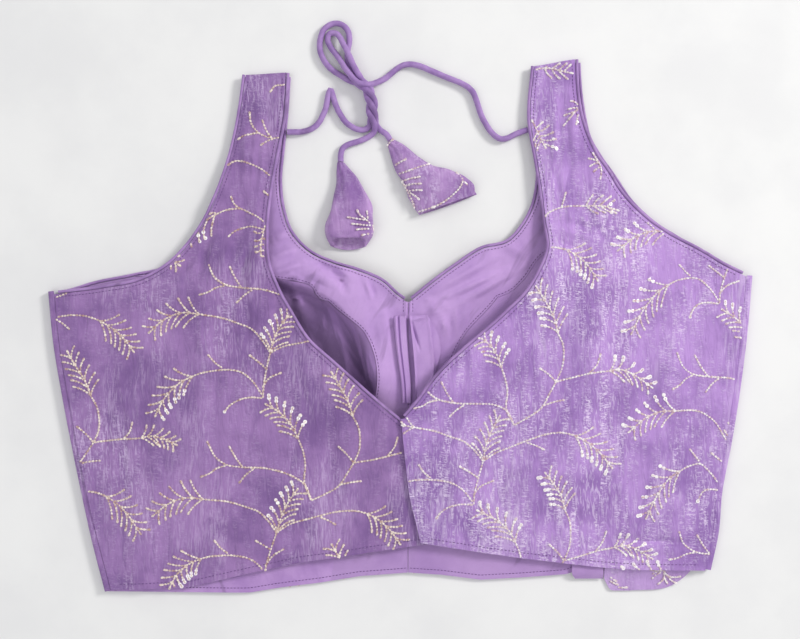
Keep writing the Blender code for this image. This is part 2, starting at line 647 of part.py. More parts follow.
def line_front(side_name, stations, plan, rise, side):
    """The two pieces of lining on a front panel, parted at the cup seam."""
    over, under = raised(plan, rise, LINING_TOP), raised(plan, rise, LINING_BOTTOM)
    shares = np.array([row[5] for row in stations])
    top_row = int(np.argmax(shares == 0.5)) * ROWS_A_STATION
    side_cells = np.zeros((len(plan) - 1, plan.shape[1] - 1), bool)
    side_cells[:top_row, :SIDE_COLUMNS] = True
    seam_rows = np.append(np.arange(top_row), np.full(SIDE_COLUMNS + 1, top_row))
    seam_columns = np.append(np.full(top_row, SIDE_COLUMNS), np.arange(SIDE_COLUMNS, -1, -1))
    seam = plan[seam_rows, seam_columns]
    for piece, cells, away in (("side", side_cells, -1), ("centre", ~side_cells, 1)):
        shift = np.zeros(over.shape)
        gaps = [SEAM_SHIFT] * (len(seam) - 1)
        shift[seam_rows, seam_columns, :2] = inset_line(seam, gaps, side * away) - seam
        wall(f"lining_{piece}_{side_name}", over + shift, under + shift, cells, "lining")
    return over


# Small pieces on the lining

def height_on(grid, x, y):
    """Height at (x, y) of a surface given as a grid of points, on its own flat faces."""
    for r in range(grid.shape[0] - 1):
        for c in range(grid.shape[1] - 1):
            a, b, d, e = grid[r, c], grid[r, c + 1], grid[r + 1, c], grid[r + 1, c + 1]
            for p, q, s in ((a, b, e), (a, e, d)):
                u, v = (q - p)[:2], (s - p)[:2]
                area = u[0] * v[1] - u[1] * v[0]
                w = np.array([x, y]) - p[:2]
                j, k = (w[0] * v[1] - w[1] * v[0]) / area, (u[0] * w[1] - u[1] * w[0]) / area
                if j >= 0 and k >= 0 and j + k <= 1:
                    return p[2] + j * (q - p)[2] + k * (s - p)[2]
    return None


def placket(name, table, linings):
    """A folded strip that lies along the lining."""
    table = np.array(table, float)
    left, right = smooth_line(table[:, :2]), smooth_line(table[:, 2:])
    shares = np.linspace(0, 1, STRIP_COLUMNS + 1)[None, :, None]
    plan = left[:, None] + (right - left)[:, None] * shares
    over = np.zeros(plan.shape[:2] + (3,))
    for place in np.ndindex(plan.shape[:2]):
        x, y = plan[place]
        heights = [height_on(grid, x, y) for grid in linings]
        heights = [height for height in heights if height is not None]
        rest = heights[0] if heights else LINING_TOP + float(front_rise(x, y))
        over[place] = (x, y, rest + STRIP_OFFSET + LINING)
    under = over - np.array([0, 0, LINING])
    wall(name, over, under, np.ones((len(over) - 1, STRIP_COLUMNS), bool), "lining")


def spare_cloth(name, table, material):
    """Cloth that hangs out under the hem and drops to the surface."""
    under = []
    for y, height, left_x, right_x in table:
        x = np.linspace(left_x, right_x, FLAP_COLUMNS + 1)
        under.append(np.column_stack([x, np.full(len(x), y), np.full(len(x), height)]))
    under = np.array(under)
    over = under + np.array([0, 0, LINING])
    wall(name, over, under, np.ones((len(table) - 1, FLAP_COLUMNS), bool), material)


# Cords, knot and tassels

def cord(name, route):
    """A tie cord along a smooth line through its route."""
    fine = smooth_line(route, per_span=12)
    reach = np.concatenate([[0], np.cumsum(np.linalg.norm(np.diff(fine, axis=0), axis=1))])
    count = max(3, round(reach[-1] / CORD_STEP) + 1)
    places = np.linspace(0, reach[-1], count)
    points = np.column_stack([np.interp(places, reach, fine[:, k]) for k in range(3)]) * MM
    curve = bpy.data.curves.new(name, "CURVE")
    curve.dimensions = "3D"
    curve.bevel_depth = CORD_DIAMETER / 2 * MM
    curve.bevel_resolution = 2
    curve.use_fill_caps = True
    spline = curve.splines.new("POLY")
    spline.points.add(len(points) - 1)
    for place, point in zip(spline.points, points):
        place.co = (*point, 1)
    curve.materials.append(finish("cord"))
    bpy.context.scene.collection.objects.link(bpy.data.objects.new(name, curve))


def knot():
    """The wrapped strands of the bow, as one body with two lobes that turn round each other."""
    sizes = smooth_line(KNOT)
    steps = np.gradient(sizes[:, :2], axis=0)
    steps /= np.linalg.norm(steps, axis=1)[:, None]
    reach = np.concatenate([[0], np.cumsum(np.linalg.norm(np.diff(sizes[:, :2], axis=0), axis=1))])
    turns = 2 * np.pi * np.arange(KNOT_SIDES) / KNOT_SIDES
    rings = []
    for (x, y, half_width, half_height), along, travelled in zip(sizes, steps, reach):
        twist = np.pi * travelled / KNOT_LAY
        waist = 1 - KNOT_WAIST * (1 - np.cos(2 * (turns - twist))) / 2
        across = half_width * waist * np.cos(turns)
        up = half_height * waist * np.sin(turns)
        rings.append(np.column_stack([
            x + along[1] * across,
            y - along[0] * across,
            half_height + KNOT_CLEARANCE + up,
        ]))
    loft("knot", rings, "cord")


def tassel(name, table):
    """A soft cloth cone with a hollow mouth, its underside nearly flat."""
    table = np.array(table, float)
    turns = 2 * np.pi * np.arange(TASSEL_SIDES) / TASSEL_SIDES
    sizes = list(smooth_line(table))
    axis = (table[-1, :2] + table[-1, 2:4]) / 2 - (table[-2, :2] + table[-2, 2:4]) / 2
    axis /= np.linalg.norm(axis)
    rings = []
    for depth in (None, 0.0, MOUTH_DEPTH):
        for left_x, left_y, right_x, right_y, height in (sizes if depth is None else [sizes[-1]]):
            left, right = np.array([left_x, left_y]), np.array([right_x, right_y])
            middle, half = (left + right) / 2, (right - left) / 2
            bottom, tall = TASSEL_CLEARANCE, height
            if depth is not None:
                half = half * (1 - TASSEL_WALL / np.linalg.norm(half)) * (1 - MOUTH_NARROWING * depth)
                middle = middle - axis * depth
                bottom += TASSEL_WALL + MOUTH_FLOOR_RISE * depth
                tall -= 2 * TASSEL_WALL + MOUTH_ROOF_DROP * depth
            lift = np.where(np.sin(turns) > 0, 1 - FLAT_SHARE, FLAT_SHARE) * np.sin(turns) + FLAT_SHARE
            rings.append(np.column_stack([middle + np.outer(np.cos(turns), half), bottom + tall * lift]))
    loft(name, rings, "tassel")


def clear_scene():
    for item in list(bpy.data.objects):
        bpy.data.objects.remove(item)


def build():
    clear_scene()
    back_panel("left", BACK_LEFT, BACK_LEFT_HEM, 1)
    back_panel("right", BACK_RIGHT, BACK_RIGHT_HEM, -1)
    linings = [
        front_panel("left", FRONT_LEFT, FRONT_LEFT_HEM, 1),
        front_panel("right", FRONT_RIGHT, FRONT_RIGHT_HEM, -1),
    ]
    placket("placket_left", PLACKET_LEFT, linings)
    placket("placket_right", PLACKET_RIGHT, linings)
    spare_cloth("seam_allowance", SEAM_ALLOWANCE, "lining")
    spare_cloth("margin_flap", MARGIN_FLAP, "tissue")
    cord("cord_left", CORD_LEFT)
    cord("cord_right", CORD_RIGHT)
    cord("loop_outer", LOOP_OUTER)
    cord("loop_inner", LOOP_INNER)
    cord("tail_left", TAIL_LEFT)
    cord("tail_right", TAIL_RIGHT)
    knot()
    tassel("tassel_left", TASSEL_LEFT)
    tassel("tassel_right", TASSEL_RIGHT)


build()
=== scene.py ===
"""The looks of a sari blouse laid flat: crushed tissue, lining, bindings, tie cords, tassels, chain stitch.

The tables and functions work in millimetres, X across the garment, Y from the hem up to the straps, Z up.
Pieces are turned into metres where their meshes are made.
"""

import bpy
import numpy as np
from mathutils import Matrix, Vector


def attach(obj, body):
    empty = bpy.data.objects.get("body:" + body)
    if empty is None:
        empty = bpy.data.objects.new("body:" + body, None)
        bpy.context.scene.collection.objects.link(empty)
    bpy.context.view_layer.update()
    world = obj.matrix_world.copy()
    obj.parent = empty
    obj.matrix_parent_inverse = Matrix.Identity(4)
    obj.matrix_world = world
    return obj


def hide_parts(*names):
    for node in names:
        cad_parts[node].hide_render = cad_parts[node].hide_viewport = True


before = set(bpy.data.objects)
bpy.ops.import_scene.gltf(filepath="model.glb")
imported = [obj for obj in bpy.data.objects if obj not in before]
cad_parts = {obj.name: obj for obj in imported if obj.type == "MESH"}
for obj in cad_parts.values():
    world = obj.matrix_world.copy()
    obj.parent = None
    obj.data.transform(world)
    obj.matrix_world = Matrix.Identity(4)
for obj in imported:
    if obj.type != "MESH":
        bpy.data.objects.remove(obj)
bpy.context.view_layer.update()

# Driving dimensions, the same as those of the solids
MM = 0.001
CLOTH = 1.2
LINING = 1.0
SEAM_GAP = 0.3
SIDE_HEIGHT = 4.9
SIDE_OVERLAP = 4.5
TURN_END = 0.9
BINDING = 1.1
BINDING_INSET = 2.5
CORD_DIAMETER = 4.2
BACK_LOFT = 12.0
LOFT_CENTRE_Y = -35.0
LOFT_TOWARD_STRAPS = 95.0
LOFT_TOWARD_HEM = 118.0
LAP_DIP = 2.2
HALF_WIDTH = 245.5
BACK_BOTTOM = SIDE_HEIGHT - CLOTH
BACK_SIDE_INSET = SIDE_OVERLAP + SEAM_GAP
LINING_BOTTOM = CLOTH + SEAM_GAP
LINING_TOP = LINING_BOTTOM + LINING
CENTRE_X = 5.4
HEM_FADE = 60.0

# The front's underside, the stretch over which the cup seam opens from the hem, and the floor in metres
FRONT_BOTTOM = 0.3
SEAM_OPENS = (-150.0, -120.0)
FLOOR_REACH = 3.0
FLOOR_Z = -0.0006

# Round pieces are shown smooth up to this turn between two faces, in radians
ROUND_ANGLE = 1.2

# Stitches: the stretch that a slope is measured over, how they stand, how long and how far in they are
SLOPE_SPAN = 1.2
STITCH_LIFT = 0.05
FINE_STITCH = 2.4
HEM_STITCH_IN = 4.0
EDGE_STITCH_IN = 4.6
LINK_STEP = 2.15
LINK_SIZES = (0.92, 1.18)
LINK_SKEW = 0.14
BUD_SIZES = (1.0, 1.3)
SEQUIN_SIZES = (0.72, 0.95)
HIDDEN_COARSE = 1.35

# The back's crushed ripple: height, slant, width, length and seed. It is pressed nearly flat at the lap.
BACK_RIPPLES = ((0.7, 0.0, 9.0, 42.0, 3), (0.65, 0.25, 17.0, 30.0, 5), (0.22, 0.0, 3.6, 17.0, 7))
PRESSED_SHARE = 0.15
SIDE_CALM = 30.0
LAP_TOP = (-62.0, -40.0)
LAP_CLEAR_RIGHT = (30.0, 48.0)
LAP_CLEAR_LEFT = (-26.0, -12.0)
LAP_DIP_FROM = (-14.0, -2.0)
LAP_STITCH_GAP = 2.0
LAP_STITCH_TOP = -60.0

# Where the lining's own folds and unevenness fade out
CUP_FADE = (-62.0, -30.0)
FOLD_FADE = (-60.0, -40.0)
LINING_CALM = (96.0, 112.0)
LINING_UNEVEN = 0.25

# How finely the cloth is cut into faces
BACK_ROWS = 12
BACK_COLUMNS = 110
FRONT_ROWS = 10
FRONT_COLUMNS = (36, 44)
SEAM_CLOSENESS = 1.5

# Panels, from the hem up. Each row is a line across a panel from its outer edge to its inner one:
# name, outer_x, outer_y, inner_x, inner_y and, on the front, the cup seam's share of the way in.
BACK_LEFT = [
    ("hem", -206, -184, 28.5, -150.5),
    ("below_waist", -215.5, -148, 23, -127),
    ("waist", -222.5, -116, 18, -104),
    ("ribs", -229.5, -82, 13.5, -86),
    ("v_point", -236, -48, 9.5, -70.5),
    ("bust", -242, -12, -8, -56),
    ("underarm", -245.5, 24, -26.5, -40),
    ("underarm_turn", -236.5, 25, -31.5, -35.5),
    ("armhole_1", -207, 28.5, -46, -22.5),
    ("armhole_2", -180, 34, -61.5, -8.5),
    ("armhole_3", -161, 45, -73, 9),
    ("armhole_4", -147, 60, -82.5, 26),
    ("strap_1", -136, 77, -89.5, 45),
    ("strap_2", -128, 95, -91, 66),
    ("strap_3", -121.5, 114, -89.5, 88),
    ("strap_4", -116, 136, -85, 115),
    ("strap_5", -112.5, 156, -79.5, 144),
    ("strap_top", -110, 175.5, -77, 176.5),
]
BACK_RIGHT = [
    ("hem", 216.5, -170, 14, -150),
    ("below_waist", 222, -144, 10.5, -135),
    ("waist", 224.5, -116, 6.5, -118),
    ("ribs", 231, -82, 4, -98),
    ("lower_bust", 236.5, -48, 2, -79),
    ("v_point", 241, -14, 0.5, -62),
    ("underarm", 245.5, 35, 14.5, -45),
    ("underarm_turn", 239, 38, 17.5, -40.5),
    ("armhole_1", 227.5, 43.5, 27, -29),
    ("armhole_2", 207, 55.5, 43, -14),
    ("armhole_3", 187, 66, 59, -0.5),
    ("armhole_4", 168, 80, 73, 12),
    ("armhole_5", 153.5, 96.5, 86, 25),
    ("strap_1", 147, 107, 93.5, 37),
    ("strap_2", 138, 120, 100.5, 56),
    ("strap_3", 131.5, 133.5, 98.5, 70.5),
    ("strap_4", 127.5, 146.5, 96.5, 90.5),
    ("strap_5", 125.5, 158, 93, 114),
    ("strap_6", 124.3, 172, 88.3, 143.5),
    ("strap_top", 124, 186, 91, 181.5),
]
FRONT_LEFT = [
    ("hem", -206, -185, CENTRE_X, -172, 0.743),
    ("below_waist", -215.5, -148, CENTRE_X, -132, 0.79),
    ("waist", -222.5, -116, CENTRE_X, -95, 0.84),
    ("ribs", -229.5, -82, CENTRE_X, -60, 0.89),
    ("lower_bust", -236, -48, CENTRE_X, -30, 0.911),
    ("bust", -242, -12, CENTRE_X, -3, 0.877),
    ("underarm", -245.5, 24, CENTRE_X, 19, 0.771),
    ("underarm_turn", -236.5, 25, 0, 22.5, 0.76),
    ("armhole_1", -213.5, 31.5, -10.5, 32, 0.727),
    ("armhole_2", -186, 37, -28, 40, 0.5),
    ("armhole_3", -161.5, 43.5, -46, 45.5, 0.5),
    ("armhole_4", -146, 59, -62, 53, 0.5),
    ("strap_1", -134.5, 76.5, -75, 67, 0.5),
    ("strap_2", -126.5, 95, -80.5, 83, 0.5),
    ("strap_3", -120, 114, -82.5, 101, 0.5),
    ("strap_4", -114.5, 136, -80.5, 125, 0.5),
    ("strap_5", -111, 156.5, -78, 150, 0.5),
    ("strap_top", -109.5, 174, -76.5, 174, 0.5),
]
FRONT_RIGHT = [
    ("hem", 216.5, -170, CENTRE_X, -172, 0.742),
    ("below_waist", 222, -144, CENTRE_X, -132, 0.785),
    ("waist", 224.5, -116, CENTRE_X, -95, 0.824),
    ("ribs", 231, -82, CENTRE_X, -60, 0.86),
    ("lower_bust", 236.5, -48, CENTRE_X, -30, 0.876),
    ("bust", 241, -14, CENTRE_X, -3, 0.828),
    ("underarm", 245.5, 35, CENTRE_X, 19, 0.73),
    ("underarm_turn", 238.5, 38.5, 10.5, 23, 0.7),
    ("armhole_1", 220.5, 47, 19, 30, 0.663),
    ("armhole_2", 196, 62, 38, 44, 0.62),
    ("armhole_3", 178.5, 73, 56, 55.5, 0.5),
    ("armhole_4", 162.5, 88, 74, 60.5, 0.5),
    ("armhole_5", 150.5, 105.5, 84.5, 72, 0.5),
    ("strap_1", 140, 120.5, 91.5, 86, 0.5),
    ("strap_2", 133.5, 132, 94.5, 103, 0.5),
    ("strap_3", 130, 146, 94, 122, 0.5),
    ("strap_4", 128, 158, 91.5, 140, 0.5),
    ("strap_5", 126.7, 171, 90.5, 160, 0.5),
    ("strap_top", 126, 184, 93, 179.5, 0.5),
]

# Hem lines: x, y
BACK_LEFT_HEM = [
    (-206, -184), (-147, -181.5), (-105, -171.5), (-70, -164), (-35, -159), (0, -153.5), (28.5, -150.5),
]
BACK_RIGHT_HEM = [
    (14, -150), (35, -153.5), (84, -161), (140, -167.5), (168, -169.5), (216.5, -170),
]
FRONT_LEFT_HEM = [
    (-206, -185), (-119, -186), (-105, -186), (-84, -182.5), (-56, -179), (-28, -174.5), (CENTRE_X, -172),
]
FRONT_RIGHT_HEM = [
    (CENTRE_X, -172), (28, -173.5), (56, -177), (84, -175.5), (118, -173), (126, -167), (204, -166.5),
    (216.5, -170),
]

# The sweetheart neckline stands up from the surface: x, y, height, reach
NECK_RISE = [
    (-83, 98.5, 0, 20),
    (-77, 72, 2, 24),
    (-62, 53, 5, 32),
    (-42, 44, 7, 38),
    (-24.5, 39, 8, 42),
    (-10.5, 32, 8, 44),
    (CENTRE_X, 19, 8, 46),
    (21, 31.5, 8, 44),
    (42, 46, 7.5, 40),
    (60.5, 58, 5.5, 34),
    (78, 63.5, 2.8, 26),
    (91, 83.5, 0.8, 22),
    (94.5, 108, 0, 20),
]
CENTRE_RISE = 4.5
CENTRE_FLAT = 17.0
CENTRE_REACH = 44.0
CENTRE_RISE_Y = (-112, -78, -20, 16)

# Folds in the back, as soft ridges: x0, y0, x1, y1, height, half_width
BACK_FOLDS = [
    (-98, 158, -103, 60, 1.6, 7),
    (-112, 100, -126, 40, 1.4, 11),
    (-104, 48, -178, 12, 1.8, 20),
    (-66, -30, -76, -120, 1.6, 26),
    (-150, -40, -146, -150, 1.4, 28),
    (106, 160, 112, 84, 1.6, 8),
    (118, 66, 182, 30, 1.8, 22),
    (96, -40, 84, -130, 1.6, 26),
    (166, -10, 158, -120, 1.4, 28),
]

# The back's neck edge stands off the lining: x, y along both sides of the V
NECK_LOFT = [
    (-85, 40), (-61.5, -8.5), (-26.5, -40), (4, -66), (27, -29), (59, -0.5), (92, 40),
]
NECK_LOFT_HEIGHT = 4.0
NECK_LOFT_REACH = 52.0

# Smaller creases pressed into the back, ridges and troughs: x0, y0, x1, y1, height, half_width
BACK_CREASES = [
    (-136, 26, -172, -6, -1.6, 7),
    (-150, 36, -186, 10, 1.3, 6),
    (-160, 30, -190, 0, -1.1, 4.5),
    (-142, 12, -128, -38, 1.2, 6),
    (-108, 30, -100, -30, -1.3, 7),
    (-95, 8, -84, -52, 1, 6),
    (-98, 132, -101, 92, -1.5, 3.6),
    (-107, 140, -108, 92, 1.5, 4),
    (-101, 60, -114, 30, -2.4, 4.5),
    (-96, 54, -106, 20, 2, 5),
    (-120, 56, -124, 32, 1.9, 5),
    (-132, 62, -140, 34, -2, 5),
    (-158, 34, -140, 50, -1.8, 5),
    (-127, 92, -134, 76, 1.4, 4),
    (-92, 74, -94, 40, -1.6, 4),
    (-86, 30, -84, -14, -1.7, 5),
    (-196, -20, -204, -92, -1.2, 9),
    (-172, -60, -168, -140, 1, 8),
    (-50, -62, -46, -118, -1, 8),
    (-122, -70, -92, -78, 1.2, 6),
    (-70, -20, -60, -84, -1.1, 5),
    (-30, -62, -36, -140, 1, 7),
    (112, 158, 110, 112, -1.6, 4),
    (119, 158, 121, 112, 1.4, 4),
    (108, 112, 110, 84, -1.3, 3.5),
    (106, 74, 146, 66, -1.7, 3.2),
    (104, 67, 140, 59, 1.7, 3.6),
    (103, 60, 130, 52, -1.4, 3.2),
    (116, 96, 120, 60, 1.1, 5),
    (124, 88, 140, 62, -1, 5),
    (96, 20, 130, 44, -1.2, 6),
    (60, -40, 66, -104, -1.1, 7),
    (112, -4, 122, -70, 1, 7),
    (142, 30, 150, -40, -1.2, 8),
    (188, 20, 186, -60, 1.1, 9),
    (206, -20, 200, -110, -1.2, 9),
    (34, -92, 40, -140, 1, 7),
    (128, -90, 118, -150, -1, 8),
    (140, -147, 204, -151.5, -1.8, 2.6),
    (140, -153, 206, -157, 1.3, 3.2),
]

# The left cup's seam, where the lining drops into the hollow of the cup: x, y
CUP_SEAM = [
    (-87.3, 33.6), (-71.2, 30.8), (-52.2, 22.4), (-41, 14.7), (-29.9, 0), (-23.3, -16.8), (-21.2, -28),
    (-18.7, -39.9), (-17, -52),
]
CUP_DROP = 8.0
CUP_NEAR = 30.0
CUP_FAR = 8.0

# Folds in the lining over the front, ridges and hollows: x0, y0, x1, y1, height, half_width
LINING_FOLDS = [
    (-90, 36, -66, 43.5, 2.4, 3.8),
    (-89, 47.5, -70, 54, 2.4, 4),
    (-88, 60, -77, 65, 2, 4),
    (-75.5, 36, -63.5, -8, 3.4, 4.5),
    (-68, 26, -57, -14, 1.4, 4),
    (-56, 14, -47, -20, 1.8, 4),
    (-44, 4, -35, -30, 1.6, 4),
    (-58, 44, -48, 38.5, -2.2, 4),
    (-49, 38.5, -41, 33, -2.8, 4.5),
    (-41.5, 34, -38, 24, -2.2, 4),
    (-61, 37, -46, 29, 2.2, 5),
    (-46, 46, -33, 33, 2, 4.5),
    (-24, 32.5, -20.5, 20, 1.8, 2.6),
    (-20, 31, -18, 20, -1.2, 2.4),
    (-12, 16, -9, -14, 1, 4),
    (-20, 10, -16, -24, -1.2, 5),
    (19, 17, 28, 6, 2.6, 4),
    (28, 8, 33, -8, 3.2, 3.4),
    (24, 17, 36, 10, 1.8, 4),
    (38, 14, 39, -10, 3, 3.4),
    (45, 16, 44, -4, 2, 4),
    (24, 24, 66, 48, 2.2, 4.4),
    (32, 20, 76, 40, 2.2, 3.6),
    (42, 16, 86, 42, 2.4, 4.2),
    (70, 58, 88, 48, 1.6, 5),
    (3.7, 21, 3.7, 5, 1.3, 1.4),
    (5.4, 21, 5.4, 5, -0.8, 0.9),
    (7.1, 21, 7.1, 5, 1.3, 1.4),
]

# The flap's folded edge and its pinched pleat: x, y
FLAP_EDGE = [(19.8, 9), (21.5, -4.4), (24.1, -27.8), (22, -60)]
FLAP_PLEAT = (8, 2.5, 13.4, -15.8, -2.2, 1.3)
FLAP_FOLD = (7, 3.6, 18.6, 6.6, 1.2, 1.4)

# Turned edge, as distances in from the outline and heights: outer_in, outer_z, inner_in, inner_z
SIDE_TURN = [
    (SIDE_OVERLAP, SIDE_HEIGHT, SIDE_OVERLAP, SIDE_HEIGHT - CLOTH),
    (2.6, 4.85, 2.6, 3.7),
    (1.2, 4.75, 1.7, 3.65),
    (0.35, 4.3, 1.3, 3.4),
    (0, 3.3, 1.2, 3),
    (0, 2.45, 1.2, 2.45),
    (0.05, 1.4, 1.2, 2),
    (0.4, 0.5, 1.3, 1.5),
    (1, 0.1, 1.4, 1.3),
    (1.6, 0, 1.6, CLOTH),
]
STRAP_TURN = [
    (1.6, SIDE_HEIGHT, 1.6, SIDE_HEIGHT - CLOTH),
    (0.9, 4.85, 1.4, 3.65),
    (0.35, 4.5, 1.3, 3.4),
    (0.05, 3.6, 1.2, 3),
    (0, 2.6, 1.2, 2.5),
    (0, 0.3, 1.2, 0.3),
]

# Strips along the centre front, over the lining: left_x, left_y, right_x, right_y
PLACKET_LEFT = [
    (-4.5, 7, 4.6, 7),
    (-3.5, -8, 5, -8),
    (-1.5, -24, 6.2, -24),
    (0.5, -39, 7.4, -39),
    (1.5, -53, 8, -53),
]
PLACKET_RIGHT = [
    (6.4, 7, 18.5, 7.7),
    (7.6, -4, 25.5, -4),
    (9, -17, 28, -14),
    (10, -31, 25, -30),
    (10.5, -46, 21.5, -45),
    (10.8, -54, 14, -53),
]
STRIP_OFFSET = 0.5
STRIP_COLUMNS = 40

# Spare cloth under the right hem: y, height, left_x, right_x
SEAM_ALLOWANCE = [
    (-146, 2.9, 121, 141),
    (-160, 2.9, 120.6, 141.2),
    (-173.4, 2.9, 120, 141.5),
    (-176.3, 1.2, 122, 141.5),
]
MARGIN_FLAP = [
    (-146, 2.9, 143, 206),
    (-168.8, 2.9, 142.2, 203.2),
    (-176, 0.3, 142.5, 197.5),
    (-181.5, 0.3, 145, 189),
    (-184.8, 0.3, 148.5, 160),
]

# Tie cords: x, y along each part of their route, and z where the cord doesn't rest on the surface
CORD_REST = 2.15
CORD_LEFT = [
    (-78.9, 135.4), (-69.5, 135.4), (-61.1, 137.6), (-55.6, 143.5), (-52, 151.9), (-50.4, 160.3),
    (-49.2, 165.6), (-47.6, 163.4), (-46.3, 157.5), (-42.7, 148.8), (-37.4, 141.3), (-31, 137.4),
    (-25.6, 137), (-21.9, 138.1),
]
CORD_RIGHT = [
    (88.85, 137), (81.2, 134.4), (73.7, 130.6), (68.4, 130.6), (62, 137), (56.5, 146.7), (53.9, 155.2),
    (51.3, 162.7), (45.9, 168.1), (38.3, 171.3), (29.9, 174.5), (21.2, 178.2), (12.7, 182), (5.2, 182.7),
    (-0.9, 180.9), (-6.3, 176.1), (-11.7, 171.8, 2.3), (-18.4, 168.8, 3.8),
]
COLLAR = [
    (-23, 167.6, 7.2), (-27.5, 167.8, 8.3),
]
LOOP_OUTER = [
    (-31.3, 169.6), (-36.2, 171.6), (-41.6, 174.8), (-47.8, 178.8), (-52.3, 183.7), (-55.2, 189.1),
    (-56.5, 194.4), (-56, 200.2), (-54.1, 206), (-50.6, 209.6), (-45.7, 211.4), (-40.8, 210.5),
    (-37.1, 207.3), (-35.6, 202.4), (-35.6, 197.5), (-36.7, 192.9), (-36.9, 187.6), (-35.9, 182),
    (-33.1, 175.7), (-28.6, 173.4),
]
LOOP_INNER = [
    (-31.3, 170.2, 7.2), (-34, 173.3, 6.75), (-38.5, 179.2, 6.6), (-40.8, 183.3, 5), (-44.3, 189, 3),
    (-48.3, 193.9), (-50.6, 198.8), (-50.7, 203), (-48.1, 205.1), (-45.2, 204.4, 2.3), (-42, 200.9, 4),
    (-39.7, 196, 6.2), (-37.4, 191.8, 6.75), (-34.8, 186.2, 6.75), (-32.4, 180.6, 6.5),
    (-29.6, 176, 6.75),
]
TAIL_LEFT = [
    (-18.6, 134.3), (-23, 131.4), (-28.9, 128.9), (-35, 127.4), (-39.8, 124.6), (-41.5, 121.3),
    (-41.6, 114.65),
]
TAIL_RIGHT = [
    (-14.9, 137.3), (-11.2, 135.4), (-8.6, 132.6), (-7, 129.8),
]

# The knot's middle line, round which three strands turn: x, y
KNOT = [
    (-26.4, 168.6), (-22.6, 164.5), (-20.6, 158.2), (-19.6, 152), (-19.6, 146), (-18.6, 141),
]
KNOT_HEIGHT = 4.6
STRAND_REACH = 2.35
STRAND_LAY = 30.0

# Tassels, from the neck to the mouth: left_x, left_y, right_x, right_y, height
TASSEL_LEFT = [
    (-43.9, 114.2, -39.3, 114.2, 4.2),
    (-44.6, 108.5, -35.5, 109.5, 5),
    (-44.7, 101, -29.4, 102, 7),
    (-46.8, 92, -24.2, 93, 9),
    (-49.5, 80, -20, 82.5, 11),
    (-51.6, 70, -18.6, 71.5, 12),
    (-52.4, 61.5, -19, 62.5, 12),
    (-48.5, 54.2, -24, 54, 11.5),
]
TASSEL_RIGHT = [
    (-9.3, 127.5, -5.1, 130.4, 4.2),
    (-8, 123.5, 2, 126.5, 5),
    (-5, 114, 12.5, 118, 6.5),
    (-1.5, 106, 22, 112, 8),
    (2.5, 98, 33, 109.5, 9),
    (6, 90, 44.5, 104.5, 9),
    (9, 83.5, 50, 99, 8.5),
    (12, 77.5, 52.3, 91.8, 8),
]
TASSEL_SIDES = 56
TASSEL_WALL = 1.3
TASSEL_REST = 0.1
TASSEL_UNEVEN = 0.085
GATHERS = 7
GATHER_DEPTH = 0.08
GATHER_FADE = 18
MOUTH_REACH = 16.0
MOUTH_DEPTHS = (0.0, 1.5, 3.5, 6.0)
FLAT_SHARE = 0.35

# One repeat of the vine, charted about its lowest fork
REPEAT = 118.5
REPEAT_DROP = 125.0
REPEAT_RISE = 30.0
STEMS = [
    [(-0.5, 2), (-6.5, 10), (-14.5, 15.5), (-24, 17.5), (-34.5, 17.5), (-45, 16), (-49, 14.5)],
    [(-29.5, 19), (-34.5, 22.5), (-38.5, 27.5)],
    [(0, 6.5), (5, 12), (14, 15.5)],
    [(-0.5, 0), (-10, 0.5), (-18, -1.5), (-24, -5.5), (-26.5, -9)],
    [(23, -28), (26, -36.5), (27.5, -47), (26.5, -56), (32, -69.5)],
    [(31.5, -68), (27.5, -59.5), (19.5, -54), (0.5, -48.5), (-18, -47), (-27.5, -45), (-34.5, -40),
     (-39, -29.5)],
    [(-17, -47), (-21, -41.5), (-25, -33.5)],
    [(-28, -45.5), (-34.5, -47), (-38.5, -49.5), (-44, -51)],
    [(-9, -48.5), (-14.5, -52), (-19, -56.5)],
    [(32, -69.5), (42.5, -65), (52.5, -59.5), (58, -52), (63, -44)],
    [(53, -59), (60, -57.5), (68.5, -56.5)],
    [(63, -44), (66.5, -35), (67, -26), (66, -19), (62.5, -12)],
    [(63, -44), (74, -41.5), (84.5, -38.5), (98, -35.5)],
    [(85.5, -38), (90.5, -32), (92.5, -26)],
    [(63, -44), (58, -38.5), (52, -33.5)],
    [(8, -90), (2, -82), (-6, -75), (-17, -71), (-29, -67), (-43, -64.5)],
    [(8, -90), (18, -85.5), (28.5, -83), (39, -80), (53, -77), (63.5, -77), (71.5, -79)],
    [(39, -81), (45, -83.5), (49.5, -86)],
    [(8, -90), (4, -101), (1, -111), (0, -118.5)],
    [(4, -100.5), (-1.5, -96.5), (-8, -92.5)],
]
FRONDS = [
    [(-49, 14.5), (-56.5, 10.5), (-64.5, 1), (-71, -14)],
    [(23, -28), (18, -17), (11, -9.5), (2, -4)],
    [(62.5, -12), (59, -0.5), (54.5, 8), (48.5, 18)],
    [(8, -90), (11, -80), (15.5, -71), (22, -62)],
    [(-43, -64.5), (-56, -63), (-67, -66), (-79, -74.5)],
    [(71.5, -79), (80, -83.5), (88, -90.5), (96, -101)],
    [(98, -35.5), (106, -33.5), (114, -35.5), (123, -41)],
]
LEAFLETS = (13.5, 13, 12.5, 13.5, 13.5, 13.5, 9.5)
LEAFLET_PAIRS = 6
LEAFLETS_FROM = 0.03
LEAFLETS_OVER = 0.82
LEAFLET_SHRINK = 0.07
LEAFLET_TURN = 28.0
LEAFLET_CURVE = 32.0
TWIGS = (1, 2, 3, 6, 7, 8, 13, 14, 17, 19)
CURL = 3

# Sequins: which fronds have them at the tips of their leaflets, and on which side, 1 left and -1 right
SEQUINS_LEFT = [(0, 1), (1, -1), (3, 1)]
SEQUINS_RIGHT = [(0, -1), (1, -1), (2, 1), (4, -1), (5, -1), (6, 1)]

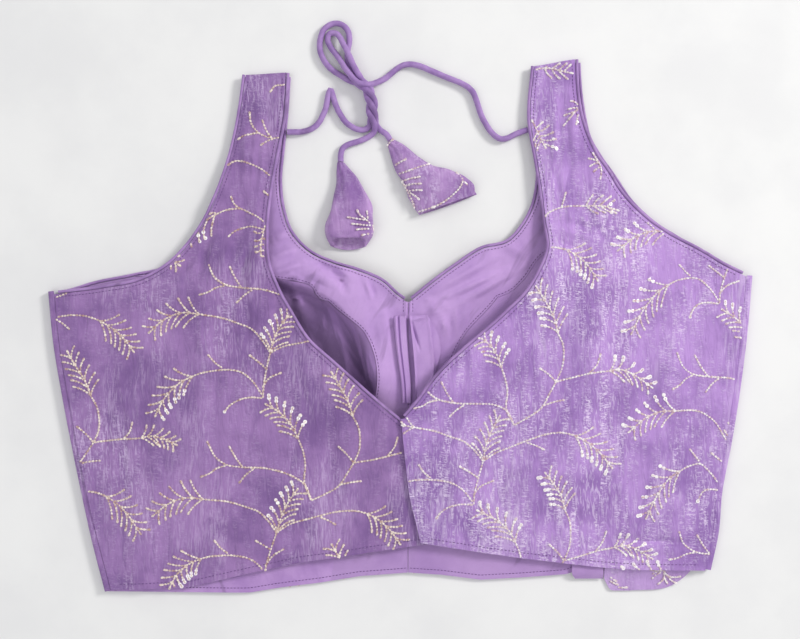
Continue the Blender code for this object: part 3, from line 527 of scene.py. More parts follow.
# Where the cloth of each vine is pulled out of true: x, y, and how far in x and y
PULLS_LEFT = [
    [
        (-139.8, 3.5, -1.5, 4.8), (-89.3, -20.7, -2.2, 4.2), (-97.6, -51.2, 2.6, 1.4),
        (-146.1, -36.6, 3.3, 2.1),
        (-74.8, -77.5, 3.3, 0), (-123.2, -94.8, 2.6, 0.7), (-114.2, 21.5, 4.7, 6.9),
        (-162.6, -66.9, -3.1, 3.8),
        (-139.6, -115, 2.7, -5.8), (-175.1, -122.7, 2.7, -6.7), (-145.3, -154.4, 8.5, -8.7),
        (-168.4, -180.3, 6.5, 2.9), (-131.9, -141.9, 3.7, -8.7),
    ],
    [
        (-236.6, 4.2, -1.2, 4.8), (-202, 4.2, -6, -1), (-182.8, -19.8, -6, -1),
        (-221.3, -14.1, -7.9, -3.8),
        (-211.6, -43.9, -2.1, -1.9), (-209.7, -77.5, -0.2, -1), (-220.9, -92.9, -2.5, -2.9),
        (-179, -70.8, -2.1, -9.6), (-202, -114, -1.2, -2.9), (-182.8, -139, -0.2, -10.6),
        (-209.7, -142.8, -3.1, -8.7),
    ],
]
PULLS_RIGHT = [
    [
        (116.2, -15.6, -6.3, 12.6), (118.4, -47.1, -10.1, 9.4), (84.1, -72.9, -7.2, 6.9),
        (76.9, -28.2, -6.3, 1.6),
        (125.6, -83.2, -4.7, 9.4), (36, -48.6, 1.6, -3.1), (53.3, -117.8, -1.6, -3.1),
        (62.7, -89.5, -6.3, -1.6),
        (116.8, 72.5, -7.5, 9.4), (117.8, -136.7, -0.9, 9.4), (97.3, -105.3, 1.6, 0),
        (120.9, -158.7, -4.1, 1.6),
        (75.3, -155.6, 6.9, -0.6), (149.2, -105.3, -1.6, 6.3), (122.5, 36.3, -11, 18.9),
        (153.9, 11.1, -15.7, 20.4),
    ],
    [
        (171.2, 23.7, 17.3, 1.6), (153.9, 1.7, 6.3, -7.9), (221.6, 15.8, -1.6, 1.6),
        (194.8, -29.8, 9.4, -1.6),
        (171.2, -89.5, 25.2, -11), (147.6, -114.7, 22, -18.9), (172.8, -48.6, 14.2, -12.6),
        (141.3, -58.1, 17.3, -15.7), (221.6, -86.4, 0, -12.6), (194.8, -146.1, 11, -9.4),
        (177.5, 67.7, 7.9, -3.1), (142.9, 61.5, 7.9, -7.9),
    ],
]
PULL_REACH = 18.0
PULL_FLOOR = 0.12
VINE_UNEVEN = 1.2

# Embroidery that shows on the spare cloth
FLAP_LINES = [
    [(173, -169.5), (177, -170.5), (181, -169.8)],
    [(175.5, -173.5), (179, -171), (182, -170.2)],
    [(175.5, -177), (178, -174), (181, -172)],
    [(183.5, -170), (185.5, -173.5), (190, -175.5), (195, -175)],
    [(184, -171.5), (184.5, -176), (186.5, -179.5)],
    [(187, -174.5), (189, -177.5), (192.5, -179.5)],
    [(184.5, -175.5), (182.5, -178.5), (180.5, -180)],
    [(146.5, -175), (148.5, -177), (150.5, -178)],
    [(146.5, -178), (149, -179.5), (151.5, -180.5)],
    [(152, -182.5), (155, -182.8), (158, -182.6)],
]

# Embroidery that shows on each tassel
TASSEL_LEFT_LINES = [
    [(-18.7, 67.4), (-21.2, 71.1), (-24.9, 74.3), (-28.6, 77.4), (-29.6, 79.5)],
    [(-18.9, 64), (-18.9, 66.5), (-19.6, 69.5)],
    [(-24.3, 73.4), (-28.6, 73.9), (-35.9, 74.9)],
    [(-22.7, 73.9), (-22.9, 76.4), (-23.2, 78.9)],
    [(-20.2, 69.6), (-26.1, 69.9), (-32.9, 70.5)],
    [(-19.4, 67.4), (-23.7, 67.2), (-29.6, 66.7)],
    [(-18.9, 64.7), (-22.4, 63.9), (-26.1, 62.9)],
]
TASSEL_RIGHT_LINES = [
    [(-9.3, 125.4), (-7.4, 127.5), (-5.5, 129.5)],
    [(-3.5, 111.9), (0, 113.8), (3.4, 115.5)],
    [(-1.2, 105.8), (3.8, 107), (11.2, 109.5), (19.6, 112.2)],
    [(0.7, 100.4), (6.3, 102.1), (13.2, 103.2)],
    [(3.1, 97.3), (8.8, 98.6), (14, 98.6)],
    [(5.6, 93.8), (10, 94.3), (14.5, 94.2)],
    [(6.5, 92.8), (9.8, 90.8), (12.7, 88.3)],
    [(-2, 106.7), (1.3, 100.4), (5.6, 93), (8.8, 86.1), (11, 77.4)],
    [(12.5, 79.4), (18.7, 81.1), (27.5, 84.5), (36.2, 90.7), (41.8, 96.9), (43.4, 101.3), (39.3, 106)],
    [(22.5, 83.1), (26.8, 79.6)],
    [(43.9, 100.4), (45.9, 98.6)],
]

# Embroidery on the straps, where the cloth was cut across the repeats
STRAP_LEFT = [
    [(-78.4, 168.9), (-82.5, 167.5), (-86.7, 167.5), (-90.2, 163.4)],
    [(-81.9, 131.5), (-87.4, 130.5), (-92.9, 131.5), (-98.5, 134.3), (-101.9, 137.8), (-104, 141.9),
     (-104.7, 148.1)],
    [(-89.5, 130.8), (-92.2, 134.3), (-94.3, 138.5), (-95.7, 142.6)],
    [(-88.1, 130.1), (-92.2, 128.8), (-96.4, 126)],
    [(-98.5, 134.3), (-104, 133.3), (-108.8, 132.2), (-112.3, 130.1)],
    [(-87.4, 101.1), (-91.5, 105.2), (-97.1, 109.4), (-104, 112.5), (-110.9, 114.6),
     (-115.1, 114.6), (-119.2, 112.2)],
    [(-88.8, 87.9), (-91.5, 90.7), (-94.3, 93.1)],
    [(-94.3, 72), (-98.5, 75.5), (-104, 78.2), (-110.9, 81.4), (-116.5, 81), (-122, 80),
     (-126.1, 78.2), (-130.3, 76.2), (-136.5, 72)],
    [(-110.9, 81.4), (-115.1, 84.5), (-117.1, 89.3)],
    [(-94.3, 66.8), (-98.5, 67.9), (-104, 68.9), (-108.8, 67.9), (-114.4, 65.8), (-118.5, 62.3)],
    [(-90.9, 80.3), (-92.2, 74.8), (-93.6, 69.3), (-95, 63), (-96, 56.1), (-95.7, 48.5)],
    [(-94.3, 65.8), (-97.8, 63.7), (-100.5, 65.1)],
    [(-95, 60.9), (-98.5, 58.5), (-99.8, 58.9)],
    [(-95.3, 57.1), (-98.5, 54.7), (-99.8, 54.7)],
    [(-95.7, 52.6), (-98.5, 50.6), (-99.2, 50.9)],
    [(-95, 60.9), (-92.9, 59.6), (-90.9, 59.9)],
    [(-95.7, 56.8), (-92.9, 55.4), (-90.9, 56.1)],
    [(-95.7, 52.6), (-92.9, 51.6), (-90.9, 52)],
    [(-95.7, 48.5), (-92.9, 47.5), (-90.9, 48.5)],
    [(-128.9, 76.9), (-129.9, 72.7), (-131, 67.9), (-131, 63)],
    [(-133.1, 74.8), (-135.1, 70.6), (-136.5, 66.5), (-135.8, 60.9)],
    [(-136.5, 72), (-139.3, 68.6), (-140, 65.1), (-139.3, 58.9)],
    [(-143.4, 67.2), (-145.5, 60.9), (-144.8, 55.4)],
    [(-127.5, 77.9), (-129.6, 78.9), (-131.7, 77.9)],
]
STRAP_LEFT_SEQUINS = [(-136.5, 65.1), (-135.1, 60.9), (-140, 62.7), (-138.9, 58.5), (-133.1, 77.2)]
STRAP_RIGHT = [
    [(100.1, 75.5), (102.2, 78.2), (106.4, 80.3), (111.2, 82.1), (117.4, 83.1), (123, 83.4),
     (129.2, 83.4), (134.7, 83.4), (141, 83.1), (146.5, 81.7), (151.3, 80.3)],
    [(129.2, 83.8), (131.3, 87.9), (133.4, 90.7)],
    [(134, 83.8), (136.8, 87.9), (140.3, 90.4)],
    [(138.2, 83.4), (142.4, 87.2), (145.8, 89.7)],
    [(143, 82.7), (146.5, 85.9), (148.6, 87.2)],
    [(129.9, 83.1), (133.4, 79.6), (136.8, 78.2)],
    [(134.7, 83.1), (138.2, 80.3), (141.7, 78.9)],
    [(139.6, 82.7), (143, 80.3), (146.5, 78.9)],
    [(144.4, 82.1), (147.2, 80), (149.3, 78.6)],
    [(111.9, 82.4), (113.3, 87.2), (114.7, 92.1)],
    [(139.6, 109.4), (138.2, 112.8), (136.1, 116.3), (134, 119.8)],
    [(137.5, 114.2), (134.7, 115.6), (131.3, 116.3)],
    [(138.2, 113.5), (134.7, 112.8), (132, 111.1)],
    [(138.9, 110.8), (136.8, 109.4), (134.7, 107.7)],
    [(139.6, 109.4), (139.6, 105.9), (138.9, 102.5)],
    [(101.5, 123.2), (98.8, 128.1), (96.7, 132.2), (94.6, 137.1), (91.8, 142.6)],
    [(94.6, 137.8), (96.7, 139.8), (98.8, 141.6)],
    [(95.3, 135), (99.4, 136.4), (102.9, 139.1)],
    [(97.4, 132.2), (101.5, 132.6), (105.7, 134.3)],
    [(98.8, 129.5), (102.9, 128.8), (107.8, 129.8)],
    [(100.1, 126.7), (103.6, 125.3), (107.8, 123.6)],
    [(95.3, 134.3), (93.9, 132.2), (92.9, 129.5)],
    [(96.7, 131.5), (94.6, 128.8), (93.9, 125.3)],
    [(98.1, 128.8), (96, 126), (95.3, 122.5)],
    [(123.7, 150.9), (121.6, 148.8), (119.5, 146.8), (117.4, 144)],
    [(123.7, 151.6), (120.9, 151.6), (117.4, 150.9)],
    [(122.3, 149.5), (118.8, 148.1), (114.7, 146.8)],
    [(120.9, 148.1), (117.4, 144), (114, 139.8)],
    [(123.7, 147.4), (123, 144), (122.3, 140.5)],
    [(123.7, 153.7), (121.6, 155.8), (118.8, 156.4)],
    [(90.5, 175.8), (94.6, 178.6), (99.4, 179.6), (105, 179.3), (110.5, 177.9), (115.4, 176.5),
     (119.5, 175.8)],
    [(100.8, 179.6), (102.9, 181.4), (105, 182.4)],
    [(105.7, 179.3), (108.4, 181), (110.5, 182.4)],
    [(110.5, 177.9), (112.6, 180.3), (115.4, 182.4)],
    [(114, 177.2), (116.1, 179.3), (118.1, 181.4)],
    [(100.8, 179.3), (102.2, 175.8), (105, 173.1)],
    [(105.7, 178.6), (107.8, 175.1), (110.5, 172.4)],
    [(110.5, 177.2), (113.3, 174.4), (116.1, 172)],
]
STRAP_RIGHT_SEQUINS = [
    (106.4, 129.8), (108.4, 123.2), (105.7, 124.6), (123, 141.9), (145.8, 84.5), (146.5, 78.9),
]

# Where the repeats end and the straps' own embroidery starts: x, y
STRAP_LEFT_FROM = [(-250, 50), (0, 50)]
STRAP_RIGHT_FROM = [(120, 66), (136, 72), (190, 72)]

# The lowest fork of each repeat of the vine: x, y
VINES_LEFT = [(-95.4, -50.4), (-275.3, -34.3)]
VINES_RIGHT = [(52.3, -121.8), (221.7, -103.8)]


# Curves and heights

def unit(rows):
    """The rows, each made 1 long."""
    return rows / np.linalg.norm(rows, axis=-1, keepdims=True)


def smooth_line(points, corner=None, per_span=12):
    """Points along a curve through the given ones, with a sharp turn at the corner if there is one."""
    points = np.asarray(points, float)
    steps = np.diff(points, axis=0)
    lengths = np.linalg.norm(steps, axis=1)[:, None]
    slopes = steps / lengths
    last = len(points) - 1
    t = np.arange(per_span)[:, None] / per_span
    spans = []
    for i in range(last):
        start_slope, end_slope = slopes[i], slopes[i]
        if i > 0 and i != corner:
            start_slope = slopes[i - 1] * lengths[i] + slopes[i] * lengths[i - 1]
            start_slope = start_slope / (lengths[i - 1] + lengths[i])
        if i + 1 < last and i + 1 != corner:
            end_slope = slopes[i] * lengths[i + 1] + slopes[i + 1] * lengths[i]
            end_slope = end_slope / (lengths[i] + lengths[i + 1])
        spans.append(
            (1 + 2 * t) * (1 - t) ** 2 * points[i]
            + t * (1 - t) ** 2 * lengths[i] * start_slope
            + t * t * (3 - 2 * t) * points[i + 1]
            - t * t * (1 - t) * lengths[i] * end_slope
        )
    return np.concatenate([*spans, points[last:]])


def inset_line(line, insets, side):
    """The line moved sideways, to its right for side 1 and left for -1, by one inset or one for each step."""
    steps = np.diff(line, axis=0)
    insets = np.broadcast_to(insets, len(steps))
    normals = side * unit(np.column_stack([steps[:, 1], -steps[:, 0]]))
    moved = line.copy()
    moved[0] += normals[0] * insets[0]
    moved[-1] += normals[-1] * insets[-1]
    for i in range(1, len(line) - 1):
        before, after = normals[i - 1], normals[i]
        if before @ after > 0.9:
            moved[i] += (before * insets[i - 1] + after * insets[i]) / 2
        else:
            moved[i] += np.linalg.solve([before, after], [insets[i - 1], insets[i]])
    return moved


def travel(line):
    """Distance along the line to each of its points."""
    return np.concatenate([[0], np.cumsum(np.linalg.norm(np.diff(line, axis=0), axis=1))])


def spaced(line, step, start=0.0, end=0.0):
    """Points at even distances along the line, without the given lengths at its two ends."""
    reach = travel(line)
    places = np.linspace(start, reach[-1] - end, max(2, round((reach[-1] - start - end) / step) + 1))
    return np.column_stack([np.interp(places, reach, line[:, k]) for k in range(line.shape[1])])


def soft_step(value, low, high):
    """0 up to low, 1 from high on and smooth between."""
    share = np.clip((value - low) / (high - low), 0, 1)
    return share * share * (3 - 2 * share)


def bump(distance, reach):
    """1 at no distance, falling smoothly to exactly 0 at the reach."""
    return np.clip(1 - (distance / reach) ** 2, 0, None) ** 2


def distance_to(x, y, start, end):
    """Distance from each (x, y) to a straight stretch, and the share of the way along it."""
    run = np.subtract(end, start)
    share = np.clip(((x - start[0]) * run[0] + (y - start[1]) * run[1]) / (run @ run), 0, 1)
    return np.hypot(x - start[0] - share * run[0], y - start[1] - share * run[1]), share


def along_line(table, x, y):
    """Distance from each (x, y) to a line of points, and its side: 1 on the line's left, -1 on its right."""
    nearest, facing = np.full(np.shape(x), np.inf), np.ones(np.shape(x))
    for start, end in zip(table, table[1:]):
        distance, share = distance_to(x, y, start, end)
        turn = (end[0] - start[0]) * (y - start[1]) - (end[1] - start[1]) * (x - start[0])
        facing = np.where(distance < nearest, np.sign(turn), facing)
        nearest = np.minimum(nearest, distance)
    return nearest, facing


def ridges(table, x, y):
    """The sum of soft ridges and troughs, each fading out towards its ends."""
    total = np.zeros(np.shape(x))
    for x0, y0, x1, y1, height, half_width in table:
        distance, share = distance_to(x, y, (x0, y0), (x1, y1))
        total = total + height * bump(distance, half_width) * np.sin(np.pi * np.clip(share, 0.12, 0.88))
    return total


def ripple(x, y, across, along, seed):
    """Smooth random height from -1 to 1, in cells of the given width and length."""
    lattice = np.random.default_rng(seed).uniform(-1, 1, (256, 256))
    u, v = np.asarray(x) / across + 97.3, np.asarray(y) / along + 61.7
    column, row = np.floor(u).astype(int), np.floor(v).astype(int)
    s, t = u - column, v - row
    s, t = s * s * (3 - 2 * s), t * t * (3 - 2 * t)
    a, b = lattice[row % 256, column % 256], lattice[row % 256, (column + 1) % 256]
    c, d = lattice[(row + 1) % 256, column % 256], lattice[(row + 1) % 256, (column + 1) % 256]
    return (a * (1 - s) + b * s) * (1 - t) + (c * (1 - s) + d * s) * t


def front_rise(x, y):
    """How far the front stands up: along its neckline, and along the centre front."""
    nearest = np.full(np.shape(x), np.inf)
    rise = np.zeros(np.shape(x))
    for (x0, y0, height0, reach0), (x1, y1, height1, reach1) in zip(NECK_RISE, NECK_RISE[1:]):
        distance, share = distance_to(x, y, (x0, y0), (x1, y1))
        height = (height0 + (height1 - height0) * share) * bump(distance, reach0 + (reach1 - reach0) * share)
        rise = np.where(distance < nearest, height, rise)
        nearest = np.minimum(nearest, distance)
    across = 1 - soft_step(np.abs(x - CENTRE_X), CENTRE_FLAT, CENTRE_REACH)
    low, full_low, full_high, high = CENTRE_RISE_Y
    along = soft_step(y, low, full_low) * (1 - soft_step(y, full_high, high))
    return rise + CENTRE_RISE * across * along


def station_index(stations, name):
    """Which row of a table of stations has the name."""
    return [row[0] for row in stations].index(name)


def lap_edge(y):
    """Where the right half's edge lies over the left half of the back."""
    rows = BACK_RIGHT[:station_index(BACK_RIGHT, "armhole_1") + 1]
    edge = smooth_line([row[3:5] for row in rows], corner=station_index(rows, "v_point"))
    return np.interp(y, edge[:, 1], edge[:, 0])


def back_rise(side_name, x, y):
    """How far the back is lofted over the front, with its folds, creases and crushed ripple."""
    dome = np.clip(1 - (x / HALF_WIDTH) ** 2, 0, None) ** 1.2
    spread = np.where(y > LOFT_CENTRE_Y, LOFT_TOWARD_STRAPS, LOFT_TOWARD_HEM)
    rise = BACK_LOFT * dome * np.exp(-(((y - LOFT_CENTRE_Y) / spread) ** 2)) + ridges(BACK_FOLDS, x, y)
    rise = rise + NECK_LOFT_HEIGHT * bump(along_line(NECK_LOFT, x, y)[0], NECK_LOFT_REACH)
    crushed = ridges(BACK_CREASES, x, y)
    for height, slant, across, along, seed in BACK_RIPPLES:
        crushed = crushed + height * ripple(x + slant * y, y, across, along, seed)
    if side_name == "right":
        clear = soft_step(x, *LAP_CLEAR_RIGHT)
        dip = 0.0
    else:
        beyond = x - lap_edge(y)
        clear = 1 - soft_step(beyond, *LAP_CLEAR_LEFT)
        dip = LAP_DIP * soft_step(beyond, *LAP_DIP_FROM)
    free = np.maximum(clear, soft_step(y, *LAP_TOP)) * soft_step(HALF_WIDTH - np.abs(x), 0.0, SIDE_CALM)
    return rise + crushed * (PRESSED_SHARE + (1 - PRESSED_SHARE) * free) - dip


def over_back(side_name):
    """The height of the back's upper side, as a function of x and y."""
    def height(x, y):
        return SIDE_HEIGHT + back_rise(side_name, x, y)

    return height


def lining_rise(x, y):
    """The front's own rise, with the folds of the loose lining and the left cup's hollow below its seam."""
    distance, facing = along_line(CUP_SEAM, x, y)
    step = CUP_DROP * bump(distance, np.where(facing > 0, CUP_NEAR, CUP_FAR)) * soft_step(y, *CUP_FADE)
    loose = ridges(LINING_FOLDS, x, y) * soft_step(y, *FOLD_FADE)
    calm = 1 - soft_step(np.abs(x), *LINING_CALM)
    uneven = LINING_UNEVEN * ripple(x, y, 13.0, 22.0, 61)
    return front_rise(x, y) + np.maximum(step * calm + loose + uneven * calm, 0.0)


# Meshes

def piece(name, points, faces, material, nodes=(), smooth_angle=0.9):
    """A mesh in place, riding on the blouse, with its material; the solids that it stands for are hidden."""
    mesh = bpy.data.meshes.new(name)
    mesh.from_pydata((np.asarray(points, float) * MM).tolist(), [], faces)
    mesh.materials.append(material)
    mesh.shade_smooth()
    mesh.set_sharp_from_angle(angle=smooth_angle)
    made = bpy.data.objects.new(name, mesh)
    bpy.context.scene.collection.objects.link(made)
    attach(made, "root")
    if nodes:
        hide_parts(*nodes)
    return made


def all_cells(grid):
    """Every square of a grid of points."""
    return np.ones((grid.shape[0] - 1, grid.shape[1] - 1), bool)


def wall_faces(shape, cells):
    """Faces of a wall of cloth between two grids of points, where cells says which squares it fills."""
    below = shape[0] * shape[1]
    index = np.arange(below).reshape(shape)
    a, b = index[:-1, :-1][cells], index[:-1, 1:][cells]
    d, e = index[1:, :-1][cells], index[1:, 1:][cells]
    steps = np.concatenate([np.stack(pair, axis=1) for pair in ((a, b), (b, e), (e, d), (d, a))])
    known = set(map(tuple, steps.tolist()))
    faces = np.stack([a, b, e, d], axis=1).tolist()
    faces += (np.stack([a, d, e, b], axis=1) + below).tolist()
    faces += [(p, p + below, q + below, q) for p, q in steps.tolist() if (q, p) not in known]
    return np.array(faces)


def wall(name, over, under, material, nodes, cells=None):
    """A closed wall of cloth, facing out."""
    faces = wall_faces(over.shape[:2], all_cells(over) if cells is None else cells)
    points = np.concatenate([over.reshape(-1, 3), under.reshape(-1, 3)])
    used, faces = np.unique(faces, return_inverse=True)
    faces = faces.reshape(-1, 4)
    points = points[used]
    top = points[faces[0]]
    if np.cross(top[1] - top[0], top[3] - top[0])[2] < 0:
        faces = faces[:, ::-1]
    return piece(name, points, faces.tolist(), material, nodes)


def ring_sides(low, high, sides):
    """Quads between two rings of points, given where each ring starts."""
    return [(low + k, low + (k + 1) % sides, high + (k + 1) % sides, high + k) for k in range(sides)]


def ring_faces(count, sides):
    """Quads over rings of points, with a cap over each end."""
    faces = []
    for r in range(count - 1):
        faces += ring_sides(r * sides, (r + 1) * sides, sides)
    last = (count - 1) * sides
    faces.append(tuple(range(sides - 1, -1, -1)))
    faces.append(tuple(range(last, last + sides)))
    return faces


def circle(count):
    """Angles at even steps round a circle."""
    return 2 * np.pi * np.arange(count) / count


def tube(name, line, radius, material, nodes, sides, seed, flat, wrinkle, seam=0.0):
    """A soft tube round a line of points, with a raised seam along it and small wrinkles."""
    steps = unit(np.gradient(line, axis=0))
    reach = travel(line)
    turns = circle(sides)
    across = unit(np.cross(steps, (0, 0, 1)))
    up = np.cross(across, steps)
    swell = 1 + wrinkle * ripple(reach[:, None], np.tile(turns * 4, (len(line), 1)), 1.6, 2.2, seed)
    seam_turn = 0.9 + 0.6 * np.sin(reach / 23.0)
    apart = np.abs((turns[None, :] - seam_turn[:, None] + np.pi) % (2 * np.pi) - np.pi)
    size = radius * swell + seam * bump(apart, 0.5)
    rings = (
        line[:, None]
        + (size * np.cos(turns))[..., None] * across[:, None]
        + (size * flat * np.sin(turns))[..., None] * up[:, None]
    )
    faces = ring_faces(len(rings), sides)
    return piece(name, rings.reshape(-1, 3), faces, material, nodes, ROUND_ANGLE)


# Stitches

def link_template():
    """One link of chain stitch, plump and narrowing to its tail, with a groove between its two threads."""
    rows = []
    for x, width, height in ((-1.0, 0.2, 0.2), (-0.45, 0.62, 0.48), (0.35, 0.72, 0.54), (0.95, 0.28, 0.32)):
        rows += [
            (x, width, 0.05), (x, 0.55 * width, height), (x, 0, 0.66 * height),
            (x, -0.55 * width, height), (x, -width, 0.05), (x, 0, -0.05),
        ]
    return np.array(rows), ring_faces(4, 6)


def run_template():
    """One plain running stitch, a short grain of thread along x."""
    rows = []
    for x, size in ((-0.75, 0.1), (-0.4, 0.24), (0.4, 0.24), (0.75, 0.1)):
        rows += [(x, size * np.cos(t), 0.05 + size * np.sin(t)) for t in circle(5)]
    return np.array(rows), ring_faces(4, 5)


def sequin_template():
    """A thin round sequin with a hole in its middle."""
    sides = 12
    rings = ((1.5, 0.2), (1.5, 0.36), (0.9, 0.5), (0.35, 0.42), (0.35, 0.26), (0.9, 0.32))
    rows, faces = [], []
    for r, (radius, z) in enumerate(rings):
        rows += [(radius * np.cos(t), radius * np.sin(t), z) for t in circle(sides)]
        faces += ring_sides(sides * r, sides * ((r + 1) % len(rings)), sides)
    return np.array(rows), np.array(faces)


def set_on(name, template, places, headings, sizes, height, material, lift=0.0, flip=1):
    """Copies of a small shape set on a cloth surface at the given places, each turned to its heading."""
    rows, faces = template
    x, y = places[:, 0], places[:, 1]
    near = SLOPE_SPAN / 2
    slope_x = (height(x + near, y) - height(x - near, y)) / SLOPE_SPAN
    slope_y = (height(x, y + near) - height(x, y - near)) / SLOPE_SPAN
    normal = unit(np.column_stack([-slope_x, -slope_y, np.ones(len(x))]))
    ahead = unit(np.column_stack([headings, headings[:, 0] * slope_x + headings[:, 1] * slope_y]))
    centre = np.column_stack([x, y, height(x, y)]) + flip * normal * lift
    points = centre[:, None]
    for k, axis in enumerate((ahead, np.cross(normal, ahead), flip * normal)):
        points = points + sizes[:, None, None] * rows[None, :, k:k + 1] * axis[:, None]
    offsets = np.arange(len(x)) * len(rows)
    all_faces = [tuple(face[::flip]) for face in faces]
    joined = [tuple(corner + offset for corner in face) for offset in offsets.tolist() for face in all_faces]
    return piece(name, points.reshape(-1, 3), joined, material, (), ROUND_ANGLE)


def kept_of(places, outline, keep):
    """Which places are within a closed outline, and kept by a further rule if there is one."""
    x, y = places[:, 0:1], places[:, 1:2]
    ax, ay = outline[:, 0][None], outline[:, 1][None]
    bx, by = np.roll(ax, -1, axis=1), np.roll(ay, -1, axis=1)
    crosses = (ay > y) != (by > y)
    meets = ax + (y - ay) * (bx - ax) / np.where(by == ay, 1e-9, by - ay)
    kept = (crosses & (x < meets)).sum(axis=1) % 2 == 1
    return kept if keep is None else kept & keep(places)


def frond(spine, longest):
    """The lines of a fern-like frond: its spine, then the leaflets on its left and right sides in turn."""
    spine = smooth_line(spine, per_span=8)
    reach = travel(spine)
    lines = [spine]
    for k in range(LEAFLET_PAIRS):
        place = reach[-1] * (LEAFLETS_FROM + LEAFLETS_OVER * k / (LEAFLET_PAIRS - 1))
        start, later = (
            np.array([np.interp(at, reach, spine[:, i]) for i in range(2)]) for at in (place, place + 3)
        )
        heading = np.arctan2(*(later - start)[::-1])
        length = longest * (1 - LEAFLET_SHRINK * k)
        for side in (1, -1):
            line = [start]
            for share in (0.2, 0.4, 0.6, 0.8, 1.0):
                turn = heading + side * np.radians(LEAFLET_TURN + LEAFLET_CURVE * share)
                line.append(line[-1] + length / 5 * np.array([np.cos(turn), np.sin(turn)]))
            lines.append(np.array(line))
    return lines


def pulled(points, pulls):
    """Points moved as the cloth has been pulled, each by the measured pulls that are near it."""
    pulls = np.array(pulls)
    apart = np.linalg.norm(points[:, None] - pulls[None, :, :2], axis=2)
    weights = np.exp(-(apart / PULL_REACH) ** 2 / 2)
    shift = (weights[:, :, None] * pulls[None, :, 2:]).sum(axis=1)
    shift = shift / (weights.sum(axis=1) + PULL_FLOOR)[:, None]
    x, y = points[:, 0], points[:, 1]
    uneven = [VINE_UNEVEN * ripple(x, y, 34.0, 34.0, seed) for seed in (51, 53)]
    return points + shift + np.column_stack(uneven)


def vine_lines(anchors, all_pulls, sequined, low, high):
    """Every stem and leaflet of the repeats between two heights, their thick ends and those with sequins."""
    lines, buds, shining = [], [], []
    for (x, y), pulls in zip(anchors, all_pulls):
        for level in range(-3, 5):
            move = np.array([x, y + REPEAT * level])
            if move[1] - REPEAT_DROP > high or move[1] + REPEAT_RISE < low:
                continue
            for k, stem in enumerate(STEMS):
                line = pulled(smooth_line(stem, per_span=8) + move, pulls)
                lines.append(line)
                if k in TWIGS:
                    buds.append(line[-2:])
                if k == CURL:
                    shining.append(line[-1:])
            for k, spine in enumerate(FRONDS):
                leaves = [pulled(line + move, pulls) for line in frond(spine, LEAFLETS[k])]
                lines += leaves
                buds += [line[-2:] for line in leaves]
                for side, first in ((1, 1), (-1, 2)):
                    if (k, side) in sequined:
                        shining += [line[[-1, -2]] for line in leaves[first::2]]
    return lines, np.array(buds), np.concatenate(shining)


def charted(lines):
    """Charted lines as smooth ones, with their thick ends."""
    lines = [smooth_line(line, per_span=6) for line in lines]
    return lines, np.array([line[-2:] for line in lines])


def strap_replaced(lines, buds, tips, strap):
    """The repeats up to a strap, and the strap's own lines above."""
    strap_lines, strap_tips, strap_from = strap
    limit = np.array(strap_from)

    def below(points):
        return points[:, 1] < np.interp(points[:, 0], limit[:, 0], limit[:, 1])

    own, own_buds = charted(strap_lines)
    lower = [line[below(line)] for line in lines]
    lines = [line for line in lower if len(line) > 2] + own
    buds = np.concatenate([buds[below(buds[:, 1])], own_buds])
    return lines, buds, np.concatenate([tips[below(tips)], strap_tips])


def stitches_along(line, step, start=0.0, end=0.0):
    """The middles and headings of even stitches along a line."""
    dots = spaced(line, step, start, end)
    return (dots[1:] + dots[:-1]) / 2, unit(dots[1:] - dots[:-1])


def chain(name, lines, buds, outline, height, rng, material, keep=None, lift=0.0, flip=1):
    """Chain stitch along lines, with a thicker stitch at each bud, cut off at an outline."""
    coarse = HIDDEN_COARSE if flip == -1 else 1.0
    places, headings = (
        np.concatenate(rows) for rows in zip(*(stitches_along(line, LINK_STEP * coarse) for line in lines))
    )
    sizes = rng.uniform(*LINK_SIZES, len(places)) * coarse
    places = np.concatenate([places, buds[:, 1]])
    headings = np.concatenate([headings, unit(buds[:, 1] - buds[:, 0])])
    sizes = np.concatenate([sizes, rng.uniform(*BUD_SIZES, len(buds))])
    kept = kept_of(places, outline, keep)
    angles = rng.normal(0, LINK_SKEW, len(places))
    cos, sin = np.cos(angles), np.sin(angles)
    headings = np.column_stack([
        headings[:, 0] * cos - headings[:, 1] * sin, headings[:, 0] * sin + headings[:, 1] * cos,
    ])
    return set_on(
        name, link_template(), places[kept], headings[kept], sizes[kept], height, material,
        lift, flip,
    )


def embroider(name, vines, outline, height, rng, keep=None, lift=0.0, flip=1):
    """Chain stitch and sequins over one panel, cut off at its outline."""
    anchors, pulls, sequined, material, strap = vines
    lines, buds, tips = vine_lines(anchors, pulls, sequined, outline[:, 1].min(), outline[:, 1].max())
    if flip == 1:
        lines, buds, tips = strap_replaced(lines, buds, tips, strap)
    made = [chain(name, lines, buds, outline, height, rng, material, keep, lift, flip)]
    tips = tips[kept_of(tips, outline, keep)]
    if flip == 1:
        turns = rng.uniform(0, 2 * np.pi, len(tips))
        headings = np.column_stack([np.cos(turns), np.sin(turns)])
        sizes = rng.uniform(*SEQUIN_SIZES, len(tips))
        made.append(set_on(
            name + "_sequins", sequin_template(), tips, headings, sizes, height, SEQUIN, lift,
        ))
    return made


def topstitch(name, line, height, start=0.0, end=0.0, step=2.6):
    """A row of plain running stitches along a line on the cloth."""
    middles, headings = stitches_along(line, step, start, end)
    return set_on(
        name, run_template(), middles, headings, np.ones(len(middles)), height, SEWING, STITCH_LIFT,
    )


# Materials

def material_of(name):
    """A new material, with its node tree and its shader."""
    material = bpy.data.materials.new(name)
    material.use_nodes = True
    return material, material.node_tree, material.node_tree.nodes["Principled BSDF"]


